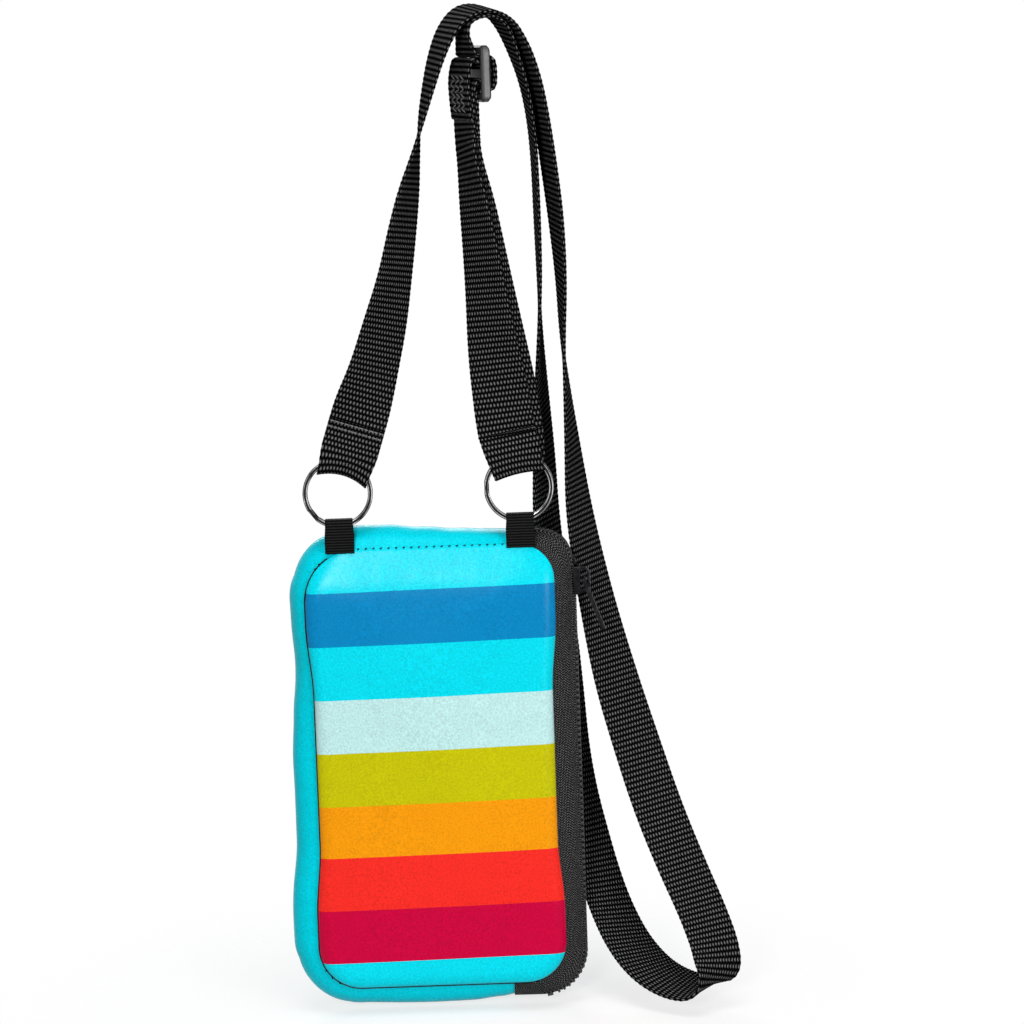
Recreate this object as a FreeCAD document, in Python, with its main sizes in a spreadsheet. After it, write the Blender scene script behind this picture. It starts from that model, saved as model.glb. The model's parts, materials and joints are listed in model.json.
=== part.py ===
"""Neoprene phone pouch with a side zip, two split rings and an adjustable webbing strap.

Millimetres, +Z up, +X to the wearer's right in the front view, +Y to the back.
The origin is the hang point: the underside of the strap's top bend, on a hook.
"""
import FreeCAD, Part
import math
import os

import Sketcher

Vector = FreeCAD.Vector
Rotation = FreeCAD.Rotation
Placement = FreeCAD.Placement

# Driving dimensions, one cell each
SIZES = {
    # Shell of the pouch
    "panel_width": 87.5,
    "panel_height": 157,
    "panel_corner": 9.5,
    "panel_edge": 1.4,
    "neoprene": 3,
    "gusset_depth": 20,
    "gusset_bulge": 6,
    "pouch_left": 25.2,
    "panel_top_drop": 183.2,
    # Zip tapes, coil and stops
    "tape": 0.8,
    "tape_gap": 1.8,
    "coil_height": 1.5,
    "coil_root": 2.6,
    "coil_mesh": 0.7,
    "coil_wire": 0.8,
    "coil_pitch": 2,
    "coil_seat": 0.05,
    "stop_length": 2,
    "stop_width": 2.2,
    "cover_length": 9.5,
    "cover_cloth": 0.8,
    # Zip slider and its pull
    "slider_length": 10,
    "slider_width": 9,
    "slider_nose": 7.6,
    "slider_wing": 1.1,
    "slider_flange": 0.9,
    "slider_clear": 0.3,
    "inner_wing_drop": 3.3,
    "inner_wing_width": 7.2,
    "post_width": 1.2,
    "post_length": 2.4,
    "post_inset": 0.8,
    "crown_width": 2,
    "crown_wire": 1,
    "crown_room": 2.7,
    "crown_length": 9,
    "pull_length": 20,
    "pull_width": 6,
    "pull_plate": 1.4,
    "pull_eye_width": 3,
    "pull_eye_length": 5.4,
    "pull_hole": 1.3,
    "pull_tilt": 20,
    # Split rings
    "ring_diameter": 24.5,
    "ring_wire_width": 1.7,
    "ring_wire_height": 1.1,
    "ring_turn_gap": 0.12,
    "ring_step_angle": 20,
    "ring_left_inset": 12.95,
    "ring_right_inset": 11.35,
    "ring_drop": 163.5,
    "ring_forward": 8.5,
    # Ribbon tabs
    "tab_width": 10.5,
    "ribbon": 0.7,
    "tab_hole": 2.4,
    "tab_axis_rise": 0.7,
    "tab_seam_inset": 0.75,
    # Webbing and its sewn ends
    "webbing_width": 20,
    "webbing": 1.2,
    "webbing_gap": 0.3,
    "fold_radius": 2,
    "fold_edge_inset": 0.4,
    "left_lean": 18,
    "right_lean": 10.5,
    "left_end_length": 25,
    "right_end_length": 20,
    "end_lead": 6,
    "webbing_join": 0.3,
    # Adjuster
    "adjuster_width": 26,
    "adjuster_height": 19.5,
    "adjuster_plate": 3.2,
    "adjuster_rim": 3,
    "adjuster_bar": 2.8,
    "adjuster_bar_plate": 2.2,
    "adjuster_corner": 2.5,
    "adjuster_edge": 0.8,
    "slot_end": 2.1,
    "adjuster_left": 3.3,
    "adjuster_forward": 1.2,
    "adjuster_drop": 19.8,
    "adjuster_turn": 70,
    "bar_loop_room": 0.15,
    "wrap_room": 0.45,
    "wrap_reach": 5.9,
    "strand_offset": 2.6,
    "tail_sewn_top": 4.5,
    "tail_outer_top": 3.5,
    "tail_sewn_end": 15.5,
}

# Flats that stand for the bulge of the side wall, and for each half of a webbing fold
WALL_FLAT_COUNT = 6
FOLD_FLAT_COUNT = 6
# Share of a zip tooth's wire and mesh taken off its head
TOOTH_HEAD_SHARE = 0.3
# Share of a run that each arc of a strap's route takes from it
ARC_RUN_SHARE = 0.45
# Turn of a route, in radians, under which its arc needs no middle section
GENTLE_TURN = math.radians(15)

# Free stretches of the strap: x, y, z, heading of the width, rise of the width
LONG_ROUTE = [
    (-42.5, -7.7, -121.9, 28, 0),
    (-37.2, -7.2, -105.0, 42, 0),
    (-33.1, -6.8, -88.5, 56, 0),
    (-29.9, -6.4, -72.0, 63, 0),
    (-27.2, -6.0, -59.0, 71, 0),
    (-24.6, -5.7, -47.4, 84, 0),
    (-22.1, -5.4, -35.1, 95, 0),
    (-19.3, -5.2, -24.2, 101, 0),
    (-16.4, -5.0, -14.1, 105, 2),
    (-12.4, -4.4, -4.6, 108, 4),
    (-6.1, -2.2, 2.0, 110, 6),
    (1.4, 0.5, 2.7, 110, 6),
    (7.6, 2.8, -1.1, 110, 5),
    (11.6, 3.8, -8.0, 109, 3),
    (14.6, 4.4, -15.0, 107, 0),
    (17.6, 5.0, -25.0, 105, 0),
    (19.9, 5.8, -39.0, 104, 0),
    (21.8, 7.0, -55.0, 104, 0),
    (23.5, 8.5, -72.1, 103, 0),
    (24.6, 10.5, -93.3, 98, 0),
    (24.3, 12.5, -114.7, 92, 0),
    (25.3, 14.0, -132.6, 85, 0),
    (26.6, 15.0, -152.3, 76, 0),
    (28.0, 15.5, -173.9, 64, 0),
    (30.9, 15.6, -193.7, 57, 0),
    (34.9, 15.0, -215.4, 49, 0),
    (39.8, 12.5, -237.6, 38, 0),
    (45.8, 8.0, -258.7, 33, 0),
    (52.7, 1.5, -281.5, 30, 0),
    (60.3, -6.0, -301.1, 30, 0),
    (66.6, -13.0, -315.6, 32, 0),
    (70.8, -18.5, -327.5, 35, 4),
    (71.6, -22.0, -336.5, 40, 9),
    (67.0, -20.5, -342.4, 43, 12),
    (58.5, -15.0, -342.6, 43, 12),
    (49.0, -6.5, -339.0, 42, 8),
    (41.2, 6.0, -331.8, 42, 3),
    (35.6, 16.5, -321.6, 42, 0),
    (31.6, 22.5, -310.0, 43, 0),
    (28.2, 26.5, -296.5, 44, 0),
    (25.0, 29.0, -282.0, 46, 0),
    (22.7, 30.5, -265.0, 48, 0),
    (22.0, 31.3, -245.0, 52, 0),
    (20.9, 31.4, -223.5, 56, 0),
    (18.7, 30.6, -201.5, 60, 0),
    (17.3, 29.3, -180.0, 63, 0),
    (16.6, 26.5, -158.4, 68, 0),
    (16.2, 22.6, -136.5, 76, 0),
    (16.4, 17.5, -114.9, 86, 0),
    (17.0, 14.5, -93.4, 92, 0),
    (16.9, 11.5, -72.1, 94, 0),
    (16.4, 9.0, -54.0, 95, 0),
    (15.2, 7.0, -38.5, 98, 0),
    (12.7, 5.2, -25.0, 102, 0),
    (9.6, 3.8, -14.0, 106, 2),
    (6.6, 2.4, -4.4, 110, 5),
    (2.5, 0.9, 0.65, 110, 6),
    (-2.7, -1.0, 0.65, 110, 6),
    (-6.3, -2.3, -3.5, 110, 4),
    (-6.25, -2.27, -7.6, 110, 0),
]
RIGHT_ROUTE = [
    (-6.8, -4.2, -49.5, -70, 0),
    (-5.3, -5.1, -64.7, -63, 0),
    (-3.8, -5.9, -81.3, -55, 0),
    (-1.8, -6.6, -98.0, -45, 0),
    (-0.2, -7.3, -114.7, -28, 0),
    (1.8, -8.1, -131.6, -8, 0),
]

doc = FreeCAD.newDocument("phone_pouch")
sheet = doc.addObject("Spreadsheet::Sheet", "Sizes")
for row, (alias, number) in enumerate(SIZES.items(), start=1):
    sheet.set(f"A{row}", alias)
    sheet.set(f"B{row}", str(number))
    sheet.setAlias(f"B{row}", alias)
doc.recompute()


class Size:
    """A number together with the sheet formula that gives it."""

    def __init__(self, number, formula):
        self.number = number
        self.formula = formula

    def __add__(self, other):
        other = as_size(other)
        return Size(self.number + other.number, f"({self.formula} + {other.formula})")

    def __sub__(self, other):
        other = as_size(other)
        return Size(self.number - other.number, f"({self.formula} - {other.formula})")

    def __rsub__(self, other):
        return as_size(other) - self

    def __mul__(self, other):
        other = as_size(other)
        return Size(self.number * other.number, f"({self.formula} * {other.formula})")

    def __truediv__(self, other):
        other = as_size(other)
        return Size(self.number / other.number, f"({self.formula} / {other.formula})")

    def __neg__(self):
        return Size(-self.number, f"(0 - {self.formula})")

    __radd__ = __add__
    __rmul__ = __mul__


def as_size(value):
    """Wrap a plain count or zero so that it can stand in a formula."""
    return value if isinstance(value, Size) else Size(float(value), repr(float(value)))


def root(value):
    """Square root of a size."""
    return Size(math.sqrt(value.number), f"sqrt({value.formula})")


def size(alias):
    """The sheet's cell of that name."""
    return Size(float(sheet.get(alias)), f"Sizes.{alias}")


def mm(alias):
    """The plain number in the sheet's cell of that name."""
    return size(alias).number


class Line:
    """A straight side of an outline, to a corner."""

    def __init__(self, across, up):
        self.end = (as_size(across), as_size(up))


class Arc:
    """A round side of an outline, to a corner, about a centre."""

    def __init__(self, across, up, centre_across, centre_up, turns_left):
        self.end = (as_size(across), as_size(up))
        self.centre = (as_size(centre_across), as_size(centre_up))
        self.turns_left = turns_left


def hold(sketch, kind, geometry, point, value):
    """Tie one coordinate of a sketch point to its formula."""
    index = sketch.addConstraint(Sketcher.Constraint(kind, -1, 1, geometry, point, value.number))
    sketch.setExpression(f"Constraints[{index}]", value.formula)


def hold_corner(sketch, geometry, point, corner):
    """Tie both coordinates of a sketch point."""
    hold(sketch, "DistanceX", geometry, point, corner[0])
    hold(sketch, "DistanceY", geometry, point, corner[1])


def draw(sketch, start, steps, closed=True):
    """Draw lines and arcs from corner to corner, each corner tied to the sheet."""
    corner = (as_size(start[0]), as_size(start[1]))
    ends = []
    for step in steps:
        begin = Vector(corner[0].number, corner[1].number, 0)
        finish = Vector(step.end[0].number, step.end[1].number, 0)
        if isinstance(step, Line):
            index = sketch.addGeometry(Part.LineSegment(begin, finish))
            first, last = 1, 2
        else:
            centre = Vector(step.centre[0].number, step.centre[1].number, 0)
            lower, upper = (begin, finish) if step.turns_left else (finish, begin)
            low = math.atan2(lower.y - centre.y, lower.x - centre.x)
            high = math.atan2(upper.y - centre.y, upper.x - centre.x)
            if high <= low:
                high += 2 * math.pi
            circle = Part.Circle(centre, Vector(0, 0, 1), (begin - centre).Length)
            index = sketch.addGeometry(Part.ArcOfCircle(circle, low, high))
            first, last = (1, 2) if step.turns_left else (2, 1)
            chord = finish - begin
            kind, value = ("DistanceY", step.centre[1])
            if abs(chord.y) > abs(chord.x):
                kind, value = ("DistanceX", step.centre[0])
            hold(sketch, kind, index, 3, value)
        hold_corner(sketch, index, first, corner)
        ends.append((index, first, last))
        corner = step.end
    for (index, _, last), (following, first, _) in zip(ends, ends[1:]):
        sketch.addConstraint(Sketcher.Constraint("Coincident", index, last, following, first))
    if closed:
        sketch.addConstraint(Sketcher.Constraint("Coincident", ends[-1][0], ends[-1][2], ends[0][0], ends[0][1]))
    else:
        hold_corner(sketch, ends[-1][0], ends[-1][2], corner)


def draw_circle(sketch, centre, radius):
    """Draw a circle tied to the sheet."""
    place = Vector(as_size(centre[0]).number, as_size(centre[1]).number, 0)
    index = sketch.addGeometry(Part.Circle(place, Vector(0, 0, 1), radius.number))
    hold_corner(sketch, index, 3, (as_size(centre[0]), as_size(centre[1])))
    limit = sketch.addConstraint(Sketcher.Constraint("Radius", index, radius.number))
    sketch.setExpression(f"Constraints[{limit}]", radius.formula)


def rounded_rectangle(sketch, low, high, radius):
    """Draw a rounded rectangle between two corners."""
    left, bottom = low
    right, top = high
    draw(sketch, (left + radius, bottom), [
        Line(right - radius, bottom),
        Arc(right, bottom + radius, right - radius, bottom + radius, True),
        Line(right, top - radius),
        Arc(right - radius, top, right - radius, top - radius, True),
        Line(left + radius, top),
        Arc(left, top - radius, left + radius, top - radius, True),
        Line(left, bottom + radius),
        Arc(left + radius, bottom, left + radius, bottom + radius, True),
    ])


def tangent_point(corner, radius, turns_left):
    """Where a line from a corner touches a circle about the origin."""
    across, up = as_size(corner[0]), as_size(corner[1])
    reach = across * across + up * up
    length = root(reach - radius * radius)
    side = 1 if turns_left else -1
    return (
        (radius * radius * across - side * radius * length * up) / reach,
        (radius * radius * up + side * radius * length * across) / reach,
    )


def bind_place(thing, across=0, back=0, up=0):
    """Tie an object's position to the sheet."""
    for axis, value in zip("xyz", (across, back, up)):
        thing.setExpression(f"Placement.Base.{axis}", as_size(value).formula)


def new_body(name):
    """Start a sub-part made of sketches and features."""
    body = doc.addObject("PartDesign::Body", name)
    body.Label = name
    return body


def body_sketch(body, plane_role, offset=None):
    """Add a sketch on one of the body's own planes, moved along the plane's normal."""
    sketch = body.newObject("Sketcher::SketchObject", f"{body.Name}_sketch")
    plane = [item for item in body.Origin.OriginFeatures if item.Role == plane_role][0]
    sketch.AttachmentSupport = [(plane, "")]
    sketch.MapMode = "FlatFace"
    if offset is not None:
        sketch.setExpression("AttachmentOffset.Base.z", offset.formula)
    return sketch


def pad(body, sketch, length, both_sides=False, backwards=False):
    """Give a sketch thickness."""
    feature = body.newObject("PartDesign::Pad", f"{body.Name}_pad")
    feature.Profile = sketch
    if both_sides:
        feature.SideType = "Symmetric"
    feature.Reversed = backwards
    feature.setExpression("Length", length.formula)
    doc.recompute()
    return feature


def dress_edges(body, feature, radius, chosen, flat=False):
    """Fillet, or chamfer, the edges of a feature that pass a test."""
    names = [f"Edge{i}" for i, edge in enumerate(feature.Shape.Edges, start=1) if chosen(edge)]
    kind, measure = ("Chamfer", "Size") if flat else ("Fillet", "Radius")
    dressing = body.newObject(f"PartDesign::{kind}", f"{body.Name}_edge")
    dressing.Base = (feature, names)
    dressing.setExpression(measure, radius.formula)
    doc.recompute()
    return dressing


def solid_feature(name, shape, placement=None):
    """Keep a solid that is made with shape functions."""
    feature = doc.addObject("Part::Feature", name)
    feature.Label = name
    feature.Shape = shape
    if placement is not None:
        feature.Placement = placement
    return feature


half_width = size("panel_width") / 2
half_height = size("panel_height") / 2
half_depth = size("gusset_depth") / 2
corner = size("panel_corner")
# Radius of the gusset's bulge, from its chord and its rise
bulge_radius = (half_depth * half_depth + size("gusset_bulge") * size("gusset_bulge")) / (2 * size("gusset_bulge"))
bulge_centre = size("gusset_bulge") - bulge_radius
pouch_x = -size("pouch_left")
panel_top_z = -size("panel_top_drop")
pouch_z = panel_top_z - half_height
seam_x = pouch_x + half_width


def bulge_at(back):
    """Height of the gusset's outer face over the seam line, at a depth from the middle."""
    return root(bulge_radius * bulge_radius - back * back) + bulge_centre


def make_panel(name, side):
    """One flat panel of neoprene with a bevelled outer edge."""
    body = new_body(name)
    sketch = body_sketch(body, "XZ_Plane")
    rounded_rectangle(sketch, (-half_width, -half_height), (half_width, half_height), corner)
    plate = pad(body, sketch, size("neoprene"), backwards=side > 0)
    outer = side * mm("neoprene")
    on_outer_face = lambda edge: all(abs(v.Y - outer) < Part.Precision.confusion() for v in edge.Vertexes)
    dress_edges(body, plate, size("panel_edge"), on_outer_face, flat=True)
    bind_place(body, pouch_x, side * half_depth, pouch_z)
    return body


def seam_path(name, steps):
    """A stretch of the seam line round the panels, from its top right end."""
    path = doc.addObject("Sketcher::SketchObject", name)
    path.Placement = Placement(Vector(), Rotation(Vector(1, 0, 0), 90))
    bind_place(path, pouch_x, 0, pouch_z)
    draw(path, (half_width - corner, half_height), steps, closed=False)
    return path


def wall_section(name, front, back, outward, inward, steps):
    """Section of the pouch's side wall between two depths, from one bulge to another."""
    section = doc.addObject("Sketcher::SketchObject", name)
    section.Placement = Placement(Vector(), Rotation(Vector(1, 1, 1), 120))
    bind_place(section, seam_x - corner, 0, panel_top_z)
    depths = [front + (back - front) * (step / steps) for step in range(steps + 1)]
    outer = [Line(depth, bulge_at(depth) + outward) for depth in depths]
    inner = [Line(depth, bulge_at(depth) - inward) for depth in reversed(depths)]
    draw(section, outer[0].end, outer[1:] + inner + outer[:1])
    return section


def sweep(name, section, path):
    """Sweep a section along the whole of a path."""
    wall = doc.addObject("Part::Sweep", name)
    wall.Label = name
    wall.Sections = [section]
    wall.Spine = (path, [f"Edge{i + 1}" for i in range(path.GeometryCount)])
    wall.Solid = True
    doc.recompute()
    return wall


def make_gusset():
    """Neoprene wall along the top, the left side and the bottom."""
    path = seam_path("gusset_path", [
        Line(corner - half_width, half_height),
        Arc(-half_width, half_height - corner, corner - half_width, half_height - corner, True),
        Line(-half_width, corner - half_height),
        Arc(corner - half_width, -half_height, corner - half_width, corner - half_height, True),
        Line(half_width - corner, -half_height),
    ])
    section = wall_section("gusset_section", -half_depth, half_depth, as_size(0), size("neoprene"), WALL_FLAT_COUNT)
    return sweep("gusset", section, path)


def make_tape(name, front, back):
    """One zip tape along the right side and round both corners."""
    path = seam_path(f"{name}_path", [
        Arc(half_width, half_height - corner, half_width - corner, half_height - corner, False),
        Line(half_width, corner - half_height),
        Arc(half_width - corner, -half_height, half_width - corner, corner - half_height, False),
    ])
    section = wall_section(f"{name}_section", front, back, as_size(0), size("tape"), WALL_FLAT_COUNT // 2)
    return sweep(name, section, path)


def make_end_cover():
    """Black cloth folded over the lower end of the zip, under the gusset's end."""
    section = wall_section(
        "zip_end_cover_section", -half_depth, half_depth, size("cover_cloth"), -size("coil_seat"), WALL_FLAT_COUNT)
    section.Placement = Placement(Vector(), Rotation(Vector(1, 0, 0), 180) * Rotation(Vector(1, 1, 1), 120))
    bind_place(section, seam_x - corner - size("cover_length"), 0, pouch_z - half_height)
    cover = doc.addObject("Part::Extrusion", "zip_end_cover")
    cover.Label = "zip_end_cover"
    cover.Base = section
    cover.DirMode = "Custom"
    cover.Dir = Vector(1, 0, 0)
    cover.Solid = True
    cover.setExpression("LengthFwd", size("cover_length").formula)
    return cover


# Zip line: the crest of the side wall
crest_x = (seam_x + size("gusset_bulge")).number
straight_top = (panel_top_z - corner).number
straight_bottom = (pouch_z - half_height + corner).number
corner_axis = Vector((seam_x - corner).number, 0, straight_bottom)
slider_z = straight_top - mm("slider_length") / 2 - mm("slider_clear")


def along_zip(distance):
    """Placement of a piece that sits on the crest, a distance down from the slider's middle."""
    straight = slider_z - straight_bottom
    if distance <= straight:
        return Placement(Vector(crest_x, 0, slider_z - distance), Rotation())
    angle = (distance - straight) / (crest_x - corner_axis.x)
    turned = Placement(Vector(), Rotation(Vector(0, 1, 0), math.degrees(angle)), corner_axis)
    return turned * Placement(Vector(crest_x, 0, straight_bottom), Rotation())


def zip_length():
    """Length of the closed coil, from the slider to the far end of the lower corner."""
    quarter = (crest_x - corner_axis.x) * math.pi / 2
    return slider_z - straight_bottom + quarter - mm("stop_length") * 2


def make_coil(name, side):
    """One half of the coil: teeth that pass the middle between the other half's teeth."""
    wire, root_y, mesh = mm("coil_wire"), mm("coil_root"), mm("coil_mesh")
    head = TOOTH_HEAD_SHARE * wire
    outline = [
        (-root_y, -wire / 2), (mesh - head, -wire / 2), (mesh, head - wire / 2),
        (mesh, wire / 2 - head), (mesh - head, wire / 2), (-root_y, wire / 2),
    ]
    corners = [Vector(mm("coil_seat"), -side * y, z) for y, z in outline]
    face = Part.Face(Part.makePolygon(corners + corners[:1]))
    tooth = face.extrude(Vector(mm("coil_height"), 0, 0))
    pitch = mm("coil_pitch")
    first = pitch / 2 if side < 0 else pitch
    teeth = []
    for index in range(int((zip_length() - first) / pitch)):
        copy = tooth.copy()
        copy.Placement = along_zip(first + index * pitch)
        teeth.append(copy)
    return solid_feature(name, Part.makeCompound(teeth))


def make_stop(name, distance, boxes):
    """Metal stops crimped on the zip tapes."""
    length = mm("stop_length")
    stops = []
    for front, back in boxes:
        block = Part.makeBox(mm("coil_height"), back - front, length, Vector(mm("coil_seat"), front, -length / 2))
        stops.append(block)
    return solid_feature(name, Part.makeCompound(stops), along_zip(distance))


def make_slider():
    """Zip slider: outer wing with side flanges, post, inner wing and crown."""
    body = new_body("zip_slider")
    half = size("slider_length") / 2
    wide, nose = size("slider_width") / 2, size("slider_nose") / 2
    wing_low = size("coil_seat") + size("coil_height") + size("slider_clear")
    wing_high = wing_low + size("slider_wing")
    flange = size("slider_flange")
    outline = body_sketch(body, "YZ_Plane", wing_low)
    draw(outline, (-nose, -half), [
        Line(nose, -half), Line(wide, 0), Line(wide, half), Line(-wide, half), Line(-wide, 0), Line(-nose, -half),
    ])
    pad(body, outline, size("slider_wing"))
    for side in (-1, 1):
        wall = body_sketch(body, "YZ_Plane", wing_low)
        draw(wall, (side * wide, 0), [
            Line(side * nose, -half), Line(side * (nose - flange), -half), Line(side * (wide - flange), 0),
            Line(side * (wide - flange), half), Line(side * wide, half), Line(side * wide, 0),
        ])
        pad(body, wall, size("coil_height") - size("slider_clear"), backwards=True)
    post = body_sketch(body, "YZ_Plane", wing_low)
    post_top = half - size("post_inset")
    rounded_rectangle(
        post, (-size("post_width") / 2, post_top - size("post_length")), (size("post_width") / 2, post_top),
        size("post_width") / 4)
    pad(body, post, wing_low + size("inner_wing_drop") - size("slider_wing"), backwards=True)
    inner = body_sketch(body, "YZ_Plane", size("slider_wing") - size("inner_wing_drop"))
    inner_wide = size("inner_wing_width") / 2
    draw(inner, (-inner_wide * nose / wide, -half), [
        Line(inner_wide * nose / wide, -half), Line(inner_wide, 0), Line(inner_wide, half),
        Line(-inner_wide, half), Line(-inner_wide, 0), Line(-inner_wide * nose / wide, -half),
    ])
    pad(body, inner, size("slider_wing"), backwards=True)
    crown = body_sketch(body, "XZ_Plane")
    foot = size("crown_length") / 2
    wire, room = size("crown_wire"), size("crown_room")
    draw(crown, (wing_high, -foot), [
        Line(wing_high + wire, -foot),
        Arc(wing_high + room + wire, -foot + room, wing_high + wire, -foot + room, True),
        Line(wing_high + room + wire, foot - room),
        Arc(wing_high + wire, foot, wing_high + wire, foot - room, True),
        Line(wing_high, foot),
        Line(wing_high, foot - wire),
        Line(wing_high + wire, foot - wire),
        Arc(wing_high + room, foot - room, wing_high + wire, foot - room, False),
        Line(wing_high + room, -foot + room),
        Arc(wing_high + wire, -foot + wire, wing_high + wire, -foot + room, False),
        Line(wing_high, -foot + wire),
        Line(wing_high, -foot),
    ])
    pad(body, crown, size("crown_width"), both_sides=True)
    body.Placement = along_zip(0)
    return body


def make_pull():
    """Zip pull: a plate with an eye round the slider's crown, hanging a little outwards."""
    body = new_body("zip_pull")
    bar = size("pull_plate")
    wide, eye = size("pull_width") / 2, size("pull_eye_width") / 2
    plate = body_sketch(body, "YZ_Plane")
    rounded_rectangle(plate, (-wide, bar / 2 - size("pull_length")), (wide, bar / 2), bar / 2)
    rounded_rectangle(plate, (-eye, -bar / 2 - size("pull_eye_length")), (eye, -bar / 2), bar / 4)
    draw_circle(plate, (0, bar / 2 - size("pull_length") + wide), size("pull_hole"))
    pad(body, plate, bar, both_sides=True)
    crown_foot = mm("coil_seat") + mm("coil_height") + mm("slider_clear") + mm("slider_wing")
    pivot = Vector(crown_foot + mm("crown_room") / 2, 0, 0)
    tilt = Rotation(Vector(0, 1, 0), -mm("pull_tilt"))
    body.Placement = along_zip(0) * Placement(pivot, tilt)
    return body


ring_middle = size("ring_diameter") / 2 - size("ring_wire_width") / 2
ring_across = {
    "left": pouch_x - half_width + size("ring_left_inset"),
    "right": seam_x - size("ring_right_inset"),
}
ring_places = {
    side: Vector(across.number, -mm("ring_forward"), -mm("ring_drop")) for side, across in ring_across.items()
}


def make_ring(side, turn):
    """Split ring: two flat turns of wire joined by a short step, with two cut ends."""
    wide, high = mm("ring_wire_width"), mm("ring_wire_height")
    outline = [(-wide / 2, -high / 2), (wide / 2, -high / 2), (wide / 2, high / 2), (-wide / 2, high / 2)]
    rise = high + mm("ring_turn_gap")
    step = mm("ring_step_angle")

    def section(angle, level):
        points = [Vector(ring_middle.number + x, level + y, 0) for x, y in outline]
        wire = Part.makePolygon(points + points[:1])
        wire.rotate(Vector(), Vector(0, 1, 0), angle)
        return wire

    axis = Vector(0, 1, 0)
    swept = 360 - step
    first = Part.Face(section(0, -rise / 2)).revolve(Vector(), axis, swept)
    second = Part.Face(section(360, rise / 2)).revolve(Vector(), axis, swept)
    crossing = Part.makeLoft([section(swept, -rise / 2), section(360, rise / 2)], True, True)
    ring = first.fuse([crossing, second]).removeSplitter()
    return solid_feature(f"ring_{side}", ring, Placement(ring_places[side], Rotation(axis, turn)))


def make_tab(side):
    """Ribbon tab folded round the ring's lower wire and sewn into the front seam."""
    body = new_body(f"tab_{side}")
    sketch = body_sketch(body, "YZ_Plane")
    outer = size("tab_hole") + size("ribbon")
    axis_z = ring_middle * -1 - size("ring_drop") + size("tab_axis_rise")
    drop = axis_z - panel_top_z
    seam = size("ring_forward") - half_depth - size("tab_seam_inset")
    front, back = seam - size("ribbon"), seam + size("ribbon")
    neck = -drop + size("ribbon")
    front_touch = tangent_point((front, neck), outer, False)
    back_touch = tangent_point((back, neck), outer, True)
    draw(sketch, (front, -drop), [
        Line(back, -drop),
        Line(back, neck),
        Line(*back_touch),
        Arc(*front_touch, 0, 0, True),
        Line(front, neck),
        Line(front, -drop),
    ])
    draw_circle(sketch, (0, 0), size("tab_hole"))
    pad(body, sketch, size("tab_width"), both_sides=True)
    bind_place(body, ring_across[side], -size("ring_forward"), axis_z)
    return body


def strip_section(width, low, high, up):
    """Rectangle across the webbing at a height over the ring's centre."""
    corners = [Vector(-width / 2, low, up), Vector(width / 2, low, up), Vector(width / 2, high, up),
               Vector(-width / 2, high, up)]
    return Part.makePolygon(corners + corners[:1])


def make_strap_end(side, lean, length):
    """Webbing folded round the top of a ring: a cupped fold and two layers that meet above it."""
    cloth, gap, room = mm("webbing"), mm("webbing_gap"), mm("fold_radius")
    middle = ring_middle.number
    width = mm("webbing_width")
    half_angle = math.degrees(math.asin((width / 2 - mm("fold_edge_inset")) / middle))
    angles = [math.pi * (1 + step / FOLD_FLAT_COUNT) for step in range(FOLD_FLAT_COUNT + 1)]
    outer = [Vector(0, math.cos(a), math.sin(a)) * (room + cloth) for a in angles]
    inner = [Vector(0, math.cos(a), math.sin(a)) * (room / math.cos(math.pi / FOLD_FLAT_COUNT / 2)) for a in angles[1:-1]]
    inner = [Vector(0, room, 0)] + inner[::-1] + [Vector(0, -room, 0)]
    corners = [point + Vector(0, 0, middle) for point in outer + inner]
    profile = Part.Face(Part.makePolygon(corners + corners[:1]))
    profile.rotate(Vector(), Vector(0, 1, 0), -half_angle)
    fold = profile.revolve(Vector(), Vector(0, 1, 0), 2 * half_angle)
    bottom = middle * math.cos(math.radians(half_angle))
    layers = []
    for sign in (-1, 1):
        near = strip_section(width - 2 * mm("fold_edge_inset"), sign * room, sign * (room + cloth), bottom)
        over = strip_section(width, sign * room, sign * (room + cloth), mm("ring_diameter") / 2 + gap)
        far = strip_section(width, sign * gap / 2, sign * (gap / 2 + cloth), length)
        layers.append(Part.makeLoft([near, over, far], True, True))
    clear = Part.makeCylinder(middle, 2 * width, Vector(0, -width, 0), Vector(0, 1, 0))
    layers = [layer.cut(clear) for layer in layers]
    end = fold.fuse(layers).removeSplitter()
    return solid_feature(f"strap_{side}_end", end, Placement(ring_places[side], Rotation(Vector(0, 1, 0), lean)))


def end_point(side, lean, length, shift=0):
    """Middle of the top of a sewn end, as the first point of a strap's route."""
    turned = Rotation(Vector(0, 1, 0), lean).multVec(Vector(0, 0, length))
    place = ring_places[side] + turned
    return (place.x, place.y + shift, place.z, 0, 0)


def unit_width(heading, rise, tangent):
    """Direction across the webbing, square to its run."""
    turn, lift = math.radians(heading), math.radians(rise)
    level = Vector(math.cos(turn) * math.cos(lift), math.sin(turn) * math.cos(lift), math.sin(lift))
    square = level - tangent * level.dot(tangent)
    return square.normalize()


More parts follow.
